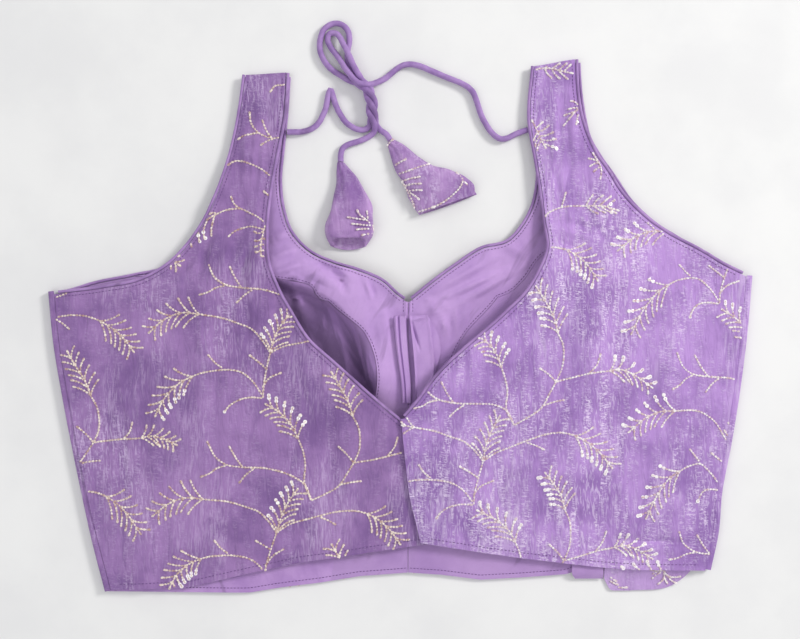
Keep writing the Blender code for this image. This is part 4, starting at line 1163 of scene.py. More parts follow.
def feed(tree, inputs, **values):
    """Set inputs to values or link them to sockets. They are named with _ for a space, or n and a number."""
    for key, value in values.items():
        numbered = key[0] == "n" and key[1:].isdigit()
        socket = inputs[int(key[1:]) if numbered else key.replace("_", " ")]
        if isinstance(value, bpy.types.NodeSocket):
            tree.links.new(value, socket)
        else:
            socket.default_value = value


def add(tree, kind, settings=None, **values):
    """A node of a kind, with settings on it and values or links on its inputs."""
    made = tree.nodes.new(kind)
    for key, value in (settings or {}).items():
        setattr(made, key, value)
    feed(tree, made.inputs, **values)
    return made


def group_of(name, inputs, outputs):
    """A new shader node group with named inputs, each with its value, and named outputs."""
    group = bpy.data.node_groups.new(name, "ShaderNodeTree")
    for label, value in inputs.items():
        kind = "NodeSocketColor" if isinstance(value, tuple) else "NodeSocketFloat"
        socket = group.interface.new_socket(label, in_out="INPUT", socket_type=kind)
        socket.default_value = value
    for label in outputs:
        kind = "NodeSocketColor" if label == "Colour" else "NodeSocketFloat"
        group.interface.new_socket(label, in_out="OUTPUT", socket_type=kind)
    return group, group.nodes.new("NodeGroupInput").outputs, group.nodes.new("NodeGroupOutput").inputs


def place_group(tree, group, **values):
    """The outputs of a group placed in a tree."""
    return add(tree, "ShaderNodeGroup", {"node_tree": group}, **values).outputs


def object_place(tree):
    """Object coordinates, in metres."""
    return add(tree, "ShaderNodeTexCoord").outputs["Object"]


def arith(tree, operation, first, second):
    """Two values worked out by the named operation."""
    return add(tree, "ShaderNodeMath", {"operation": operation}, n0=first, n1=second).outputs[0]


def times(tree, first, second):
    """The product of two values."""
    return arith(tree, "MULTIPLY", first, second)


def plus(tree, total, *others):
    """The sum of several values."""
    for other in others:
        total = arith(tree, "ADD", total, other)
    return total


def band(tree, value, low, high):
    """0 below low, 1 above high and smooth between."""
    settings = {"interpolation_type": "SMOOTHSTEP"}
    return add(tree, "ShaderNodeMapRange", settings, Value=value, From_Min=low, From_Max=high).outputs[0]


def noise(tree, across, along, turn=0.0, detail=3.0, distortion=0.0, roughness=0.55):
    """Soft noise in cells that are scaled across and along the cloth, in cells a metre, and turned."""
    turned = add(tree, "ShaderNodeMapping", Vector=object_place(tree), Rotation=(0, 0, turn))
    scale = add(tree, "ShaderNodeCombineXYZ", X=across, Y=along, Z=60.0)
    scaled = add(
        tree, "ShaderNodeVectorMath", {"operation": "MULTIPLY"}, n0=turned.outputs[0], n1=scale.outputs[0],
    )
    return add(
        tree, "ShaderNodeTexNoise", Vector=scaled.outputs[0], Scale=1.0, Detail=detail, Roughness=roughness,
        Distortion=distortion,
    ).outputs["Fac"]


def mixed(tree, amount, first, second):
    """The first colour going over to the second."""
    return add(tree, "ShaderNodeMix", {"data_type": "RGBA"}, n0=amount, n6=first, n7=second).outputs[2]


def bumped(tree, height, distance):
    """Normals that a height bends."""
    return add(tree, "ShaderNodeBump", Height=height, Distance=distance, Strength=1.0).outputs[0]


def rgb(red, green, blue):
    """A colour given as it looks on a screen, 0 to 255, as Blender's own linear values."""
    share = np.array([red, green, blue]) / 255
    linear = np.where(share <= 0.04045, share / 12.92, ((share + 0.055) / 1.055) ** 2.4)
    return (*linear.tolist(), 1.0)


def crushed_group():
    """Crushed tissue: long streaks and bright flecks along and across the yarn, painted sheen where its metal
    yarn would catch the light, and painted shade in its pressed creases.
    """
    group, value, result = group_of(
        "crushed tissue",
        {
            "Streak Width": 420.0, "Streak Length": 30.0, "Fleck Width": 950.0, "Fleck Length": 120.0,
            "Dash Length": 300.0, "Dash Width": 900.0, "Patch Size": 22.0, "Bareness": 0.46,
        },
        ("Streaks", "Flecks", "Cross Flecks", "Shade", "Height"),
    )
    bare = value["Bareness"]
    streak = noise(group, value["Streak Width"], value["Streak Length"], 0.06, distortion=0.3)
    fleck = noise(group, value["Fleck Width"], value["Fleck Length"], -0.05, distortion=0.5)
    dash = noise(group, value["Dash Length"], value["Dash Width"], 0.1, 2.0, 0.8)
    column = noise(group, 190.0, 26.0, 0.04, 2.0, 0.5)
    patch = noise(group, value["Patch Size"], times(group, value["Patch Size"], 0.5), detail=4.0)
    patch = band(group, patch, arith(group, "SUBTRACT", bare, 0.08), plus(group, bare, 0.22))
    crease = noise(group, 62.0, 13.0, 0.12, distortion=0.6)
    pressed = noise(group, 210.0, 42.0, -0.1, distortion=0.8)
    long_patch = noise(group, 36.0, 9.0, 0.08, distortion=0.4)
    crackle = times(group, band(group, dash, 0.50, 0.62), band(group, column, 0.42, 0.60))
    pressed_shade = times(group, band(group, pressed, 0.42, 0.30), 0.7)
    # Streaks, Flecks and Cross Flecks are masks of painted sheen and glints; Shade is a mask of painted shade
    # in creases
    feed(
        group, result,
        Streaks=times(group, band(group, streak, 0.44, 0.62), band(group, long_patch, 0.50, 0.66)),
        Flecks=times(group, band(group, fleck, 0.50, 0.64), patch),
        Cross_Flecks=times(group, crackle, plus(group, 0.3, times(group, patch, 0.7))),
        Shade=arith(group, "MAXIMUM", band(group, crease, 0.44, 0.30), pressed_shade),
        Height=plus(
            group, times(group, streak, 0.22), times(group, pressed, 1.5), times(group, crease, 2.2),
            times(group, crackle, 0.07),
        ),
    )
    return group


def weave_group():
    """Plain weave: threads over and under each other."""
    group, value, result = group_of("plain weave", {"Threads": 1800.0}, ("Height", "Mask"))
    place = object_place(group)
    waves = [
        add(
            group, "ShaderNodeTexWave", {"bands_direction": direction},
            Vector=place, Scale=value["Threads"], Distortion=0.6, Detail=1.0,
        ).outputs["Fac"]
        for direction in ("X", "Y")
    ]
    height = plus(group, *waves)
    feed(group, result, Height=height, Mask=times(group, height, 0.5))
    return group


def cloudy_group():
    """Soft uneven colour over a surface."""
    group, value, result = group_of(
        "uneven colour",
        {"Colour": (0.5, 0.5, 0.5, 1), "Darker": (0.3, 0.3, 0.3, 1), "Size": 30.0},
        ("Colour", "Mask"),
    )
    mask = band(group, noise(group, value["Size"], value["Size"], detail=5.0, roughness=0.6), 0.35, 0.68)
    feed(group, result, Colour=mixed(group, mask, value["Colour"], value["Darker"]), Mask=mask)
    return group


CRUSHED = crushed_group()
WEAVE = weave_group()
CLOUDY = cloudy_group()


def tissue(name, main, dark, light, shares, **crush_values):
    """Crushed tissue in given colours, with painted shade in its creases and painted sheen in its streaks and
    flecks. The shares are those of shade, streaks, flecks and cross flecks.
    """
    material, tree, shader = material_of(name)
    crush = place_group(tree, CRUSHED, **crush_values)
    weave = place_group(tree, WEAVE, Threads=1500.0)
    colour = place_group(tree, CLOUDY, Colour=main, Darker=dark, Size=26.0)["Colour"]
    labels = ("Shade", "Streaks", "Flecks", "Cross Flecks")
    # The dark tone is painted shade and the light tone painted sheen
    for label, tone, share in zip(labels, (dark, light, light, light), shares):
        colour = mixed(tree, times(tree, crush[label], share), colour, tone)
    shine = arith(tree, "MAXIMUM", crush["Flecks"], crush["Cross Flecks"])
    height = plus(tree, crush["Height"], times(tree, weave["Height"], 0.05))
    feed(
        tree, shader.inputs, Base_Color=colour, Metallic=times(tree, shine, 0.25),
        Roughness=arith(tree, "SUBTRACT", 0.6, times(tree, shine, 0.22)), Normal=bumped(tree, height, 0.0009),
        Sheen_Weight=0.2, Sheen_Roughness=0.4, Specular_IOR_Level=0.45,
    )
    return material


def add_painted_hem_shade(tree, colour, painted_shade_colour, amount):
    """The colour, with painted shade under the back's hem."""
    place = add(tree, "ShaderNodeSeparateXYZ", Vector=object_place(tree)).outputs
    return mixed(tree, times(tree, band(tree, place["Y"], -0.125, -0.15), amount), colour, painted_shade_colour)


def add_painted_cup_shade(tree, colour, dark, painted_fold_mask, amount):
    """The colour, with painted shade in the hollow of the cup and along the back's edge over it, and its
    folds picked out in painted light inside that shade.
    """
    place = add(tree, "ShaderNodeSeparateXYZ", Vector=object_place(tree)).outputs
    low = times(tree, band(tree, place["Y"], -0.09, -0.06), band(tree, place["Y"], 0.045, 0.0))
    near_edge = band(tree, plus(tree, place["X"], place["Y"]), -0.012, -0.052)
    cup_shade_mask = times(tree, low, plus(tree, 0.25, times(tree, near_edge, 0.75)))
    # Painted shade, towards a dark purple, strongest near the back's edge over the cup
    colour = mixed(tree, times(tree, cup_shade_mask, amount), colour, rgb(82, 54, 104))
    # Painted light and shade on folds: the cloth's darker tone is lighter than the painted shade, so folds
    # inside it read as lit and folds outside it as shaded
    return mixed(tree, times(tree, band(tree, painted_fold_mask, 0.50, 0.64), 0.55), colour, dark)


def plain_cloth(
    name, main, dark, threads, relief, roughness, sheen, size=22.0, hollow=0.0, painted_hem_shade=0.0, fold_turn=0.55,
):
    """A plain smooth fabric with its weave and soft unevenness, and painted shade in its folds, under the
    back's hem and in the cup where asked for.
    """
    material, tree, shader = material_of(name)
    base = place_group(tree, CLOUDY, Colour=main, Darker=dark, Size=size)
    weave = place_group(tree, WEAVE, Threads=threads)
    # Painted shade: a stretched noise darkens the cloth in streaks as if shade lay in folds; in the cup the
    # same mask also gives painted light on folds
    painted_fold_mask = noise(tree, 62.0, 15.0, fold_turn, distortion=0.6)
    painted_shade_colour = (*(0.66 * value for value in dark[:3]), 1.0)
    colour = mixed(tree, times(tree, weave["Mask"], 0.12), base["Colour"], dark)
    colour = mixed(tree, times(tree, band(tree, painted_fold_mask, 0.43, 0.31), 0.65), colour, painted_shade_colour)
    # Painted shade on the lining under the back's hem
    if painted_hem_shade:
        colour = add_painted_hem_shade(tree, colour, painted_shade_colour, painted_hem_shade)
    # Painted shade in the cup's hollow, as much as the hollow value asks
    if hollow:
        colour = add_painted_cup_shade(tree, colour, dark, painted_fold_mask, hollow)
    pucker = noise(tree, 130.0, 45.0, 0.5, 4.0, 0.6)
    height = plus(tree, pucker, times(tree, weave["Height"], 0.06))
    feed(
        tree, shader.inputs, Base_Color=colour, Normal=bumped(tree, height, relief),
        Roughness=plus(tree, roughness, times(tree, base["Mask"], 0.08)),
        Sheen_Weight=sheen, Sheen_Roughness=0.4,
    )
    return material


def thread(name, main, dark, metallic, roughness):
    """Twisted thread, with a faint metal lustre if it is a gold one; its colour goes at random to a dark
    tone, painted shade on the links.
    """
    material, tree, shader = material_of(name)
    base = place_group(tree, CLOUDY, Colour=main, Darker=dark, Size=500.0)
    settings = {"bands_direction": "DIAGONAL"}
    twist = add(tree, "ShaderNodeTexWave", settings, Vector=object_place(tree), Scale=1300.0)
    feed(
        tree, shader.inputs, Base_Color=base["Colour"], Metallic=times(tree, base["Mask"], metallic),
        Roughness=roughness, Normal=bumped(tree, twist.outputs["Fac"], 0.0001),
    )
    return material


def sequin(name):
    """A glossy pale sequin."""
    material, tree, shader = material_of(name)
    base = place_group(tree, CLOUDY, Colour=rgb(255, 254, 252), Darker=rgb(236, 224, 238), Size=300.0)
    feed(
        tree, shader.inputs, Base_Color=base["Colour"], Metallic=times(tree, base["Mask"], 0.1),
        Roughness=0.2, Coat_Weight=1.0,
    )
    return material


# The left panels' tissue: a shaded copy, its colours darker than the right's as painted shade
TISSUE_LEFT_SHADED = tissue(
    "tissue left", rgb(163, 124, 184), rgb(126, 90, 152), rgb(228, 206, 242), (0.6, 0.28, 0.55, 0.4),
    Streak_Width=900.0, Streak_Length=110.0, Fleck_Width=900.0, Fleck_Length=120.0, Bareness=0.54,
    Dash_Length=340.0, Dash_Width=900.0,
)
# The right panels' tissue: a lit copy, its colours lighter than the left's as painted light from the right
TISSUE_RIGHT_LIT = tissue(
    "tissue right", rgb(188, 146, 216), rgb(146, 106, 178), rgb(246, 230, 254), (0.7, 0.25, 0.42, 0.75),
    Streak_Width=420.0, Streak_Length=50.0, Fleck_Width=900.0, Fleck_Length=160.0, Bareness=0.44,
    Dash_Length=360.0, Dash_Width=1150.0,
)
TISSUE_TASSEL = tissue(
    "tissue of the tassels", rgb(188, 148, 206), rgb(138, 98, 164), rgb(236, 218, 248),
    (0.7, 0.1, 0.36, 0.32),
    Streak_Width=300.0, Streak_Length=200.0, Fleck_Width=500.0, Fleck_Length=160.0, Bareness=0.5,
)
TISSUE_FLAP = tissue(
    "wrong side of the tissue", rgb(200, 164, 222), rgb(168, 130, 194), rgb(236, 220, 246),
    (0.5, 0.15, 0.3, 0.35),
    Streak_Width=300.0, Streak_Length=120.0, Fleck_Width=700.0, Fleck_Length=160.0, Bareness=0.52,
)
# The lining, with painted shade under the back's hem and in its folds
LINING_CLOTH = plain_cloth(
    "lining", rgb(200, 161, 221), rgb(180, 141, 205), 1300.0, 0.0008, 0.48, 0.25, painted_hem_shade=0.25,
)
# The cup's lining: a little darker than the lining as painted shade, with more painted shade in its hollow
# and painted light on its folds
CUP_LINING_PAINTED_SHADE = plain_cloth(
    "lining of the cup", rgb(197, 157, 218), rgb(172, 132, 198), 1300.0, 0.0008, 0.5, 0.2,
    hollow=0.84, fold_turn=-0.3,
)
BINDING_CLOTH = plain_cloth("binding", rgb(168, 132, 190), rgb(142, 108, 166), 1100.0, 0.0004, 0.6, 0.2, 60.0)
CORD_CLOTH = plain_cloth("cord cloth", rgb(168, 133, 193), rgb(140, 106, 168), 1100.0, 0.0005, 0.6, 0.2, 90.0)
# The threads' dark tones are painted shade, standing for the shadowed sides of the chain links
THREAD_LEFT = thread("embroidery thread left", rgb(255, 244, 230), rgb(176, 134, 128), 0.05, 0.4)
THREAD_RIGHT = thread("embroidery thread right", rgb(255, 251, 248), rgb(198, 160, 168), 0.05, 0.35)
SEWING = thread("sewing thread", rgb(116, 80, 142), rgb(92, 60, 118), 0.0, 0.6)
SEQUIN = sequin("sequin")


# Panels

def panel_plan(stations, corner_names, insets, side, shares, hem, per_span):
    """Plan points of a panel, a row for each line across it, with the outline and the underarm's row."""
    sizes = np.array([row[1:] for row in stations], float)
    corners = [station_index(stations, name) for name in corner_names]
    edges = []
    for k, (corner, (low_inset, high_inset)) in enumerate(zip(corners, insets)):
        line = smooth_line(sizes[:, 2 * k:2 * k + 2], corner, per_span)
        steps = [low_inset if i < corner * per_span else high_inset for i in range(len(line) - 1)]
        edges.append((line, inset_line(line, steps, side if k == 0 else -side)))
    (outer_line, outer), (inner_line, inner) = edges
    plan = outer[:, None] + (inner - outer)[:, None] * shares(len(outer), sizes)[:, :, None]
    hem = np.array(hem, float)
    change = np.interp(plan[0, :, 0], hem[:, 0], hem[:, 1]) - plan[0, :, 1]
    fade = np.clip(1 - (plan[:, :, 1] - plan[0, :, 1]) / HEM_FADE, 0, 1) ** 2
    plan[:, :, 1] += change * fade
    return plan, outer_line, inner_line, corners[0] * per_span


def even_shares(count, sizes):
    """Even shares across a back panel."""
    return np.tile(np.linspace(0, 1, BACK_COLUMNS), (count, 1))


def seam_shares(count, sizes):
    """Shares across a front panel, with one column of points on the cup seam."""
    side_columns, centre_columns = FRONT_COLUMNS
    seam = smooth_line(np.column_stack([np.arange(len(sizes)), sizes[:, 4]]), per_span=FRONT_ROWS)[:, 1:2]
    side_part = (1 - np.linspace(1, 0, side_columns + 1)[None, :] ** SEAM_CLOSENESS) * seam
    centre_part = seam + np.linspace(0, 1, centre_columns + 1)[None, 1:] * (1 - seam)
    return np.concatenate([side_part, centre_part], axis=1)


def raised(plan, rise, height):
    """Plan points lifted to a rise and a height over it."""
    return np.concatenate([plan, (rise + height)[..., None]], axis=-1)


def outline_of(plan):
    """The closed outline of a grid of plan points."""
    return np.concatenate([plan[0], plan[1:, -1], plan[-1, -2::-1], plan[-2:0:-1, 0]])


def turned_rows(plan, rise):
    """Rows past a back strap's top, where it turns down over the far strap's end."""
    over, under = [], []
    for outer_in, outer_z, inner_in, inner_z in STRAP_TURN[1:]:
        for rows, inward, height in ((over, outer_in, outer_z), (under, inner_in, inner_z)):
            share = np.clip((height - 1) / (BACK_BOTTOM - 1), 0, 1)
            across = plan[-1] + np.array([0, STRAP_TURN[0][0] - inward])
            rows.append(np.column_stack([across, height + rise[-1] * share]))
    return np.array(over), np.array(under)


def declare(plan, cells=None):
    """The size that a piece of cloth was cut to, worked out from the cells that it fills and not used
    further.
    """
    if cells is None:
        cells = all_cells(plan)
    corners = np.zeros(plan.shape[:2], bool)
    for rows, columns in ((slice(1, None), slice(1, None)), (slice(-1), slice(-1))):
        corners[rows, columns] |= cells
    width, length = np.ptp(plan[corners], axis=0)[:2] * MM


def clear_of_lap(places):
    """Which places on the left back the right one doesn't lie over."""
    x, y = places.T
    return (x < lap_edge(y) - LAP_STITCH_GAP) | (y > LAP_STITCH_TOP)


def back_panel(side_name, stations, hem, side, material, vines):
    """A back panel with its turned strap end, bindings, embroidery and hem stitches."""
    plan, outer_line, inner_line, underarm = panel_plan(
        stations, ("underarm", "v_point"), ((BACK_SIDE_INSET, BINDING_INSET), (0, BINDING_INSET)),
        side, even_shares, hem, BACK_ROWS,
    )
    plan[-1, :, 1] -= STRAP_TURN[0][0]
    rise = back_rise(side_name, plan[..., 0], plan[..., 1])
    over_turn, under_turn = turned_rows(plan, rise)
    over = np.concatenate([raised(plan, rise, SIDE_HEIGHT), over_turn])
    under = np.concatenate([raised(plan, rise, BACK_BOTTOM), under_turn])
    cloth = wall(f"tissue_back_{side_name}", over, under, material, [f"back_{side_name}"])
    trims = bind("back", side_name, outer_line, inner_line, underarm, stations, side)
    height = over_back(side_name)
    keep = clear_of_lap if side_name == "left" else None
    trims += embroider(
        f"embroidery_back_{side_name}", vines, outline_of(plan), height, np.random.default_rng(11), keep,
    )
    hem_line = inset_line(plan[0], HEM_STITCH_IN, -side)
    trims.append(topstitch(f"hem_stitch_back_{side_name}", hem_line, height, 6, 6))
    declare(plan)


def bind(layer, side_name, outer_line, inner_line, underarm, stations, side):
    """The bindings on a panel's armhole and neck edges, with a row of stitches beside each on the back."""
    on_back = layer == "back"
    corner, per_span = ("v_point", BACK_ROWS) if on_back else ("underarm", FRONT_ROWS)
    neck = station_index(stations, corner) * per_span
    edges = (
        ("armhole", outer_line[underarm:], side, 7.5),
        ("neck", inner_line[neck:], -side, 2.0),
    )
    made = []
    for edge_name, edge, turn, start in edges:
        line = spaced(inset_line(edge, BINDING, turn), 1.6, start, 0.5 if on_back else 0.2)
        x, y = line[:, 0], line[:, 1]
        rise, height = (back_rise(side_name, x, y), BACK_BOTTOM + CLOTH / 2) if on_back else (
            front_rise(x, y), LINING_TOP / 2)
        name = f"{layer}_{edge_name}_binding_{side_name}"
        made.append(tube(
            f"{edge_name}_edge_{layer}_{side_name}", raised(line, rise, height), BINDING, BINDING_CLOTH,
            [name], 10, seed=len(name), flat=1.05, wrinkle=0.07,
        ))
        if on_back:
            beside = inset_line(edge, EDGE_STITCH_IN, turn)
            name = f"{edge_name}_stitch_{side_name}"
            made.append(topstitch(name, beside, over_back(side_name), start + 4, 4, FINE_STITCH))
    return made


def under_front(x, y):
    """The height of the front's under side."""
    return front_rise(x, y) + FRONT_BOTTOM


def front_panel(side_name, stations, hem, side, material, vines):
    """A front panel, its turned side and its lining, which is made from the panel's own points."""
    plan, outer_line, inner_line, underarm = panel_plan(
        stations, ("underarm", "underarm"),
        ((SIDE_TURN[-1][0], BINDING_INSET), (SEAM_GAP / 2, BINDING_INSET)),
        side, seam_shares, hem, FRONT_ROWS,
    )
    rise = front_rise(plan[..., 0], plan[..., 1])
    side_line = outer_line[:underarm + 1]
    inward = inset_line(side_line, 1.0, side) - side_line
    inward[-1] *= TURN_END
    over, under = [], []
    for outer_in, outer_z, inner_in, inner_z in SIDE_TURN[:-1]:
        for columns, distance, height in ((under, outer_in, outer_z), (over, inner_in, inner_z)):
            column = np.zeros((len(plan), 3))
            column[:underarm + 1, :2] = side_line + inward * distance
            column[:, 2] = height
            columns.append(column)
    turns = len(over)
    over = np.concatenate([np.stack(over, axis=1), raised(plan, rise, CLOTH)], axis=1)
    under = np.concatenate([np.stack(under, axis=1), raised(plan, rise, FRONT_BOTTOM)], axis=1)
    cells = all_cells(over)
    cells[underarm:, :turns] = False
    cloth = wall(f"tissue_front_{side_name}", over, under, material, [f"front_{side_name}"], cells)
    trims = bind("front", side_name, outer_line, inner_line, underarm, stations, side)
    trims += embroider(
        f"embroidery_front_{side_name}", vines, outline_of(plan), under_front, np.random.default_rng(19),
        lift=-0.2, flip=-1,
    )
    declare(plan)
    line_front(side_name, stations, plan, side)


def line_front(side_name, stations, plan, side):
    """The two pieces of lining on a front panel, parted at the cup seam."""
    rise = lining_rise(plan[..., 0], plan[..., 1])
    side_columns = FRONT_COLUMNS[0]
    over, under = raised(plan, rise, LINING_TOP), raised(plan, rise, LINING_BOTTOM)
    shares = np.array([row[5] for row in stations])
    top_row = int(np.argmax(shares == 0.5)) * FRONT_ROWS
    side_cells = ~all_cells(plan)
    side_cells[:top_row, :side_columns] = True
    seam_rows = np.append(np.arange(top_row), np.full(side_columns + 1, top_row))
    seam_columns = np.append(np.full(top_row, side_columns), np.arange(side_columns, -1, -1))
    seam = plan[seam_rows, seam_columns]
    open_seam = soft_step(seam[:, 1], *SEAM_OPENS)[:, None]
    # The left cup's lining carries the painted shade
    side_cloth = CUP_LINING_PAINTED_SHADE if side_name == "left" else LINING_CLOTH
    parts = (("side", side_cells, -1, side_cloth), ("centre", ~side_cells, 1, LINING_CLOTH))
    for part, cells, away, material in parts:
        shift = np.zeros(over.shape)
        shift[seam_rows, seam_columns, :2] = (inset_line(seam, SEAM_GAP / 2, side * away) - seam) * open_seam
        name = f"lining_{part}_{side_name}"
        cloth = wall(f"cloth_{name}", over + shift, under + shift, material, [name], cells)
        trims = lining_stitches(side_name, plan, seam, side) if part == "centre" else []
        declare(plan, cells)


def over_lining(x, y):
    """The height of the lining's upper side."""
    return LINING_TOP + lining_rise(x, y)


def lining_stitches(side_name, plan, seam, side):
    """Rows of stitches on the lining: by the cup seam, the neckline, the hem and the centre front."""
    neckline = plan[6 * FRONT_ROWS + 4:, -1]
    centre = CENTRE_X - side * 3.2
    rows = (
        ("cup_stitch", inset_line(seam[seam[:, 1] > -100], 1.5, side), 2.0, 2.0),
        ("neckline_stitch", inset_line(neckline, 1.6, -side), 1.0, 4.0),
        ("hem_band_stitch", inset_line(plan[0], 3.2, -side), 4.0, 0.5),
        ("centre_stitch", np.array([(centre, 19.0), (centre, 9.0)]), 0.5, 0.5),
    )
    return [
        topstitch(f"{name}_{side_name}", line, over_lining, start, end, FINE_STITCH)
        for name, line, start, end in rows
    ]


def left_strip_relief(share, x, y):
    """A rolled edge, a crease beside it and a flat part."""
    flat = soft_step(share, 0.38, 0.46) * (1 - soft_step(share, 0.88, 1.0))
    return 2.6 * bump(share - 0.14, 0.22) + 1.7 * flat + 0.3 * ripple(x, y, 3.0, 9.0, 67)


def right_flap_relief(share, x, y):
    """A folded flap over a second layer, with a pinched pleat."""
    distance, facing = along_line(FLAP_EDGE, x, y)
    upper = np.where(facing > 0, 0.0, soft_step(distance, 0.0, 0.6))
    rolled = 0.7 * bump(share, 0.1) + 0.5 * bump(distance - 1.2, 1.6) * upper
    pleated = ridges([FLAP_PLEAT, FLAP_FOLD], x, y)
    return 0.5 + 2.0 * upper + rolled + pleated + 0.3 * ripple(x, y, 5.0, 14.0, 69)


def placket(name, table, relief):
    """A folded strip that lies along the lining."""
    table = np.array(table, float)
    left, right = smooth_line(table[:, :2]), smooth_line(table[:, 2:])
    share = np.linspace(0, 1, STRIP_COLUMNS)[None, :]
    plan = left[:, None] + (right - left)[:, None] * share[..., None]
    x, y = plan[..., 0], plan[..., 1]
    rise = over_lining(x, y) + STRIP_OFFSET + np.clip(relief(share, x, y), 0, None)
    over, under = raised(plan, rise, LINING), raised(plan, rise, 0)
    cloth = wall(f"strip_{name}", over, under, LINING_CLOTH, [name])
    cut = plan.copy()
    cut[:, 1:, 0] = plan[:, :1, 0] + np.cumsum(np.linalg.norm(np.diff(over, axis=1), axis=2), axis=1)
    declare(cut)


def spare_cloth(name, table, material, lines=()):
    """Cloth that hangs out under the hem and drops to the surface."""
    table = np.array(table, float)
    y, z, left, right = (column[:, None] for column in smooth_line(table, per_span=8).T)
    x = left + (right - left) * np.linspace(0, 1, 24)
    plan = np.stack([x, y + 0 * x], axis=-1)
    under = raised(plan, z + 0.25 * np.maximum(0, ripple(x, y + 0 * x, 6.0, 12.0, 23)), 0)
    cloth = wall(f"spare_{name}", under + np.array([0, 0, LINING]), under, material, [name])

    def height(x, y):
        return np.interp(y, table[::-1, 0], table[::-1, 1]) + LINING + 0.2

    if lines:
        chain(
            f"embroidery_{name}", *charted(lines), outline_of(plan), height, np.random.default_rng(29),
            THREAD_RIGHT,
        )
    declare(plan)


# Cords and tassels

def strand(phase, downward):
    """One strand's way through the knot, turning round its middle line."""
    line = smooth_line(KNOT, per_span=5)
    steps = unit(np.gradient(line, axis=0))
    turn = phase + 2 * np.pi * travel(line) / STRAND_LAY
    points = np.column_stack([
        line[:, 0] + steps[:, 1] * STRAND_REACH * np.cos(turn),
        line[:, 1] - steps[:, 0] * STRAND_REACH * np.cos(turn),
        KNOT_HEIGHT + STRAND_REACH * np.sin(turn),
    ])
    return points if downward else points[::-1]


def tie_cord(name, parts, nodes):
    """A whole tie cord from its strap to its tassel, through the knot."""
    route = np.array([point if len(point) == 3 else (*point, CORD_REST) for part in parts for point in part])
    line = spaced(smooth_line(spaced(route, 5.0), per_span=6), 1.1)
    made = tube(
        name, line, CORD_DIAMETER / 2 * 0.97, CORD_CLOTH, nodes, 14, seed=31, flat=0.98, wrinkle=0.05,
        seam=0.16,
    )
    float(travel(line)[-1] * MM)


def tassel_top(sizes):
    """Height of a tassel's upper side at any (x, y) on it."""
    across = np.linspace(-0.97, 0.97, 33)[None, :, None]
    left, right = sizes[:, None, 0:2], sizes[:, None, 2:4]
    grid = ((left + right) / 2 + (right - left) / 2 * across).reshape(-1, 2)
    share = FLAT_SHARE + (1 - FLAT_SHARE) * np.sqrt(1 - across[..., 0] ** 2)
    heights = (TASSEL_REST + sizes[:, 4:5] * share).reshape(-1)

    def height(x, y):
        apart = (x[:, None] - grid[None, :, 0]) ** 2 + (y[:, None] - grid[None, :, 1]) ** 2
        weights = np.exp(-(apart - apart.min(axis=1, keepdims=True)) / 1.6)
        return (weights * heights).sum(axis=1) / weights.sum(axis=1)

    return height


def tassel(name, table, seed, lip, rounding, lines):
    """A cloth cone with gathers at its neck, a hollow mouth with a longer lower lip, and embroidery."""
    table = np.array(table, float)
    turns = circle(TASSEL_SIDES)
    cos, sin = np.cos(turns), np.sin(turns)
    sizes = smooth_line(table, per_span=6)
    before, far = ((row[:2] + row[2:4]) / 2 for row in table[-2:])
    axis = unit(far - before)
    outside = [(number, size, None) for number, size in enumerate(sizes)]
    inside = [(0, sizes[-1], depth) for depth in MOUTH_DEPTHS]
    rings = []
    for number, (left_x, left_y, right_x, right_y, tall), depth in outside + inside:
        left, right = np.array([left_x, left_y]), np.array([right_x, right_y])
        middle, half, bottom = (left + right) / 2, (right - left) / 2, TASSEL_REST
        near_mouth = np.clip(1 - (far - middle) @ axis / MOUTH_REACH, 0, 1) ** 2
        gather = GATHER_DEPTH * np.cos(GATHERS * turns + number * 0.08) * np.exp(-number / GATHER_FADE)
        uneven = ripple(turns * 9, np.full(len(turns), number * 2.0), 6.0, 14.0, seed)
        gather = gather + TASSEL_UNEVEN * uneven
        if depth is not None:
            half = half * (1 - TASSEL_WALL / np.linalg.norm(half)) * (1 - 0.04 * depth)
            middle = middle - axis * depth
            bottom, tall = TASSEL_REST + TASSEL_WALL + 0.1 * depth, tall - 2 * TASSEL_WALL - 0.25 * depth
        lift = np.where(sin > 0, 1 - FLAT_SHARE, FLAT_SHARE) * sin + FLAT_SHARE
        swell = 1 + gather * np.where(sin > -0.3, 1, 0.2)
        back = near_mouth * (lip * np.clip(sin, 0, None) ** 0.7 + rounding * cos ** 2 - 1.0)
        rings.append(np.column_stack([
            middle + np.outer(cos * swell, half) - np.outer(back, axis),
            bottom + tall * np.clip(lift * swell, 0, None),
        ]))
    faces = ring_faces(len(rings), TASSEL_SIDES)
    made = piece(f"cone_{name}", np.concatenate(rings), faces, TISSUE_TASSEL, [name], ROUND_ANGLE)
    chain(
        f"embroidery_{name}", *charted(lines), np.concatenate([table[:, :2], table[::-1, 2:4]]),
        tassel_top(sizes), np.random.default_rng(seed), THREAD_RIGHT, lift=0.45,
    )
    return made


# Surroundings

def floor():
    """A plain pale floor, faintly smudged."""
    material, tree, shader = material_of("floor")
    smudge = place_group(tree, CLOUDY, Colour=rgb(231, 231, 230), Darker=rgb(224, 224, 224), Size=9.0)
    roughness = plus(tree, 0.7, times(tree, smudge["Mask"], 0.1))
    feed(tree, shader.inputs, Base_Color=smudge["Colour"], Roughness=roughness)
    corners = [(x * FLOOR_REACH, y * FLOOR_REACH, FLOOR_Z) for x, y in ((-1, -1), (1, -1), (1, 1), (-1, 1))]
    mesh = bpy.data.meshes.new("floor")
    mesh.from_pydata(corners, [], [(0, 1, 2, 3)])
    mesh.materials.append(material)
    made = bpy.data.objects.new("floor", mesh)
    bpy.context.scene.collection.objects.link(made)


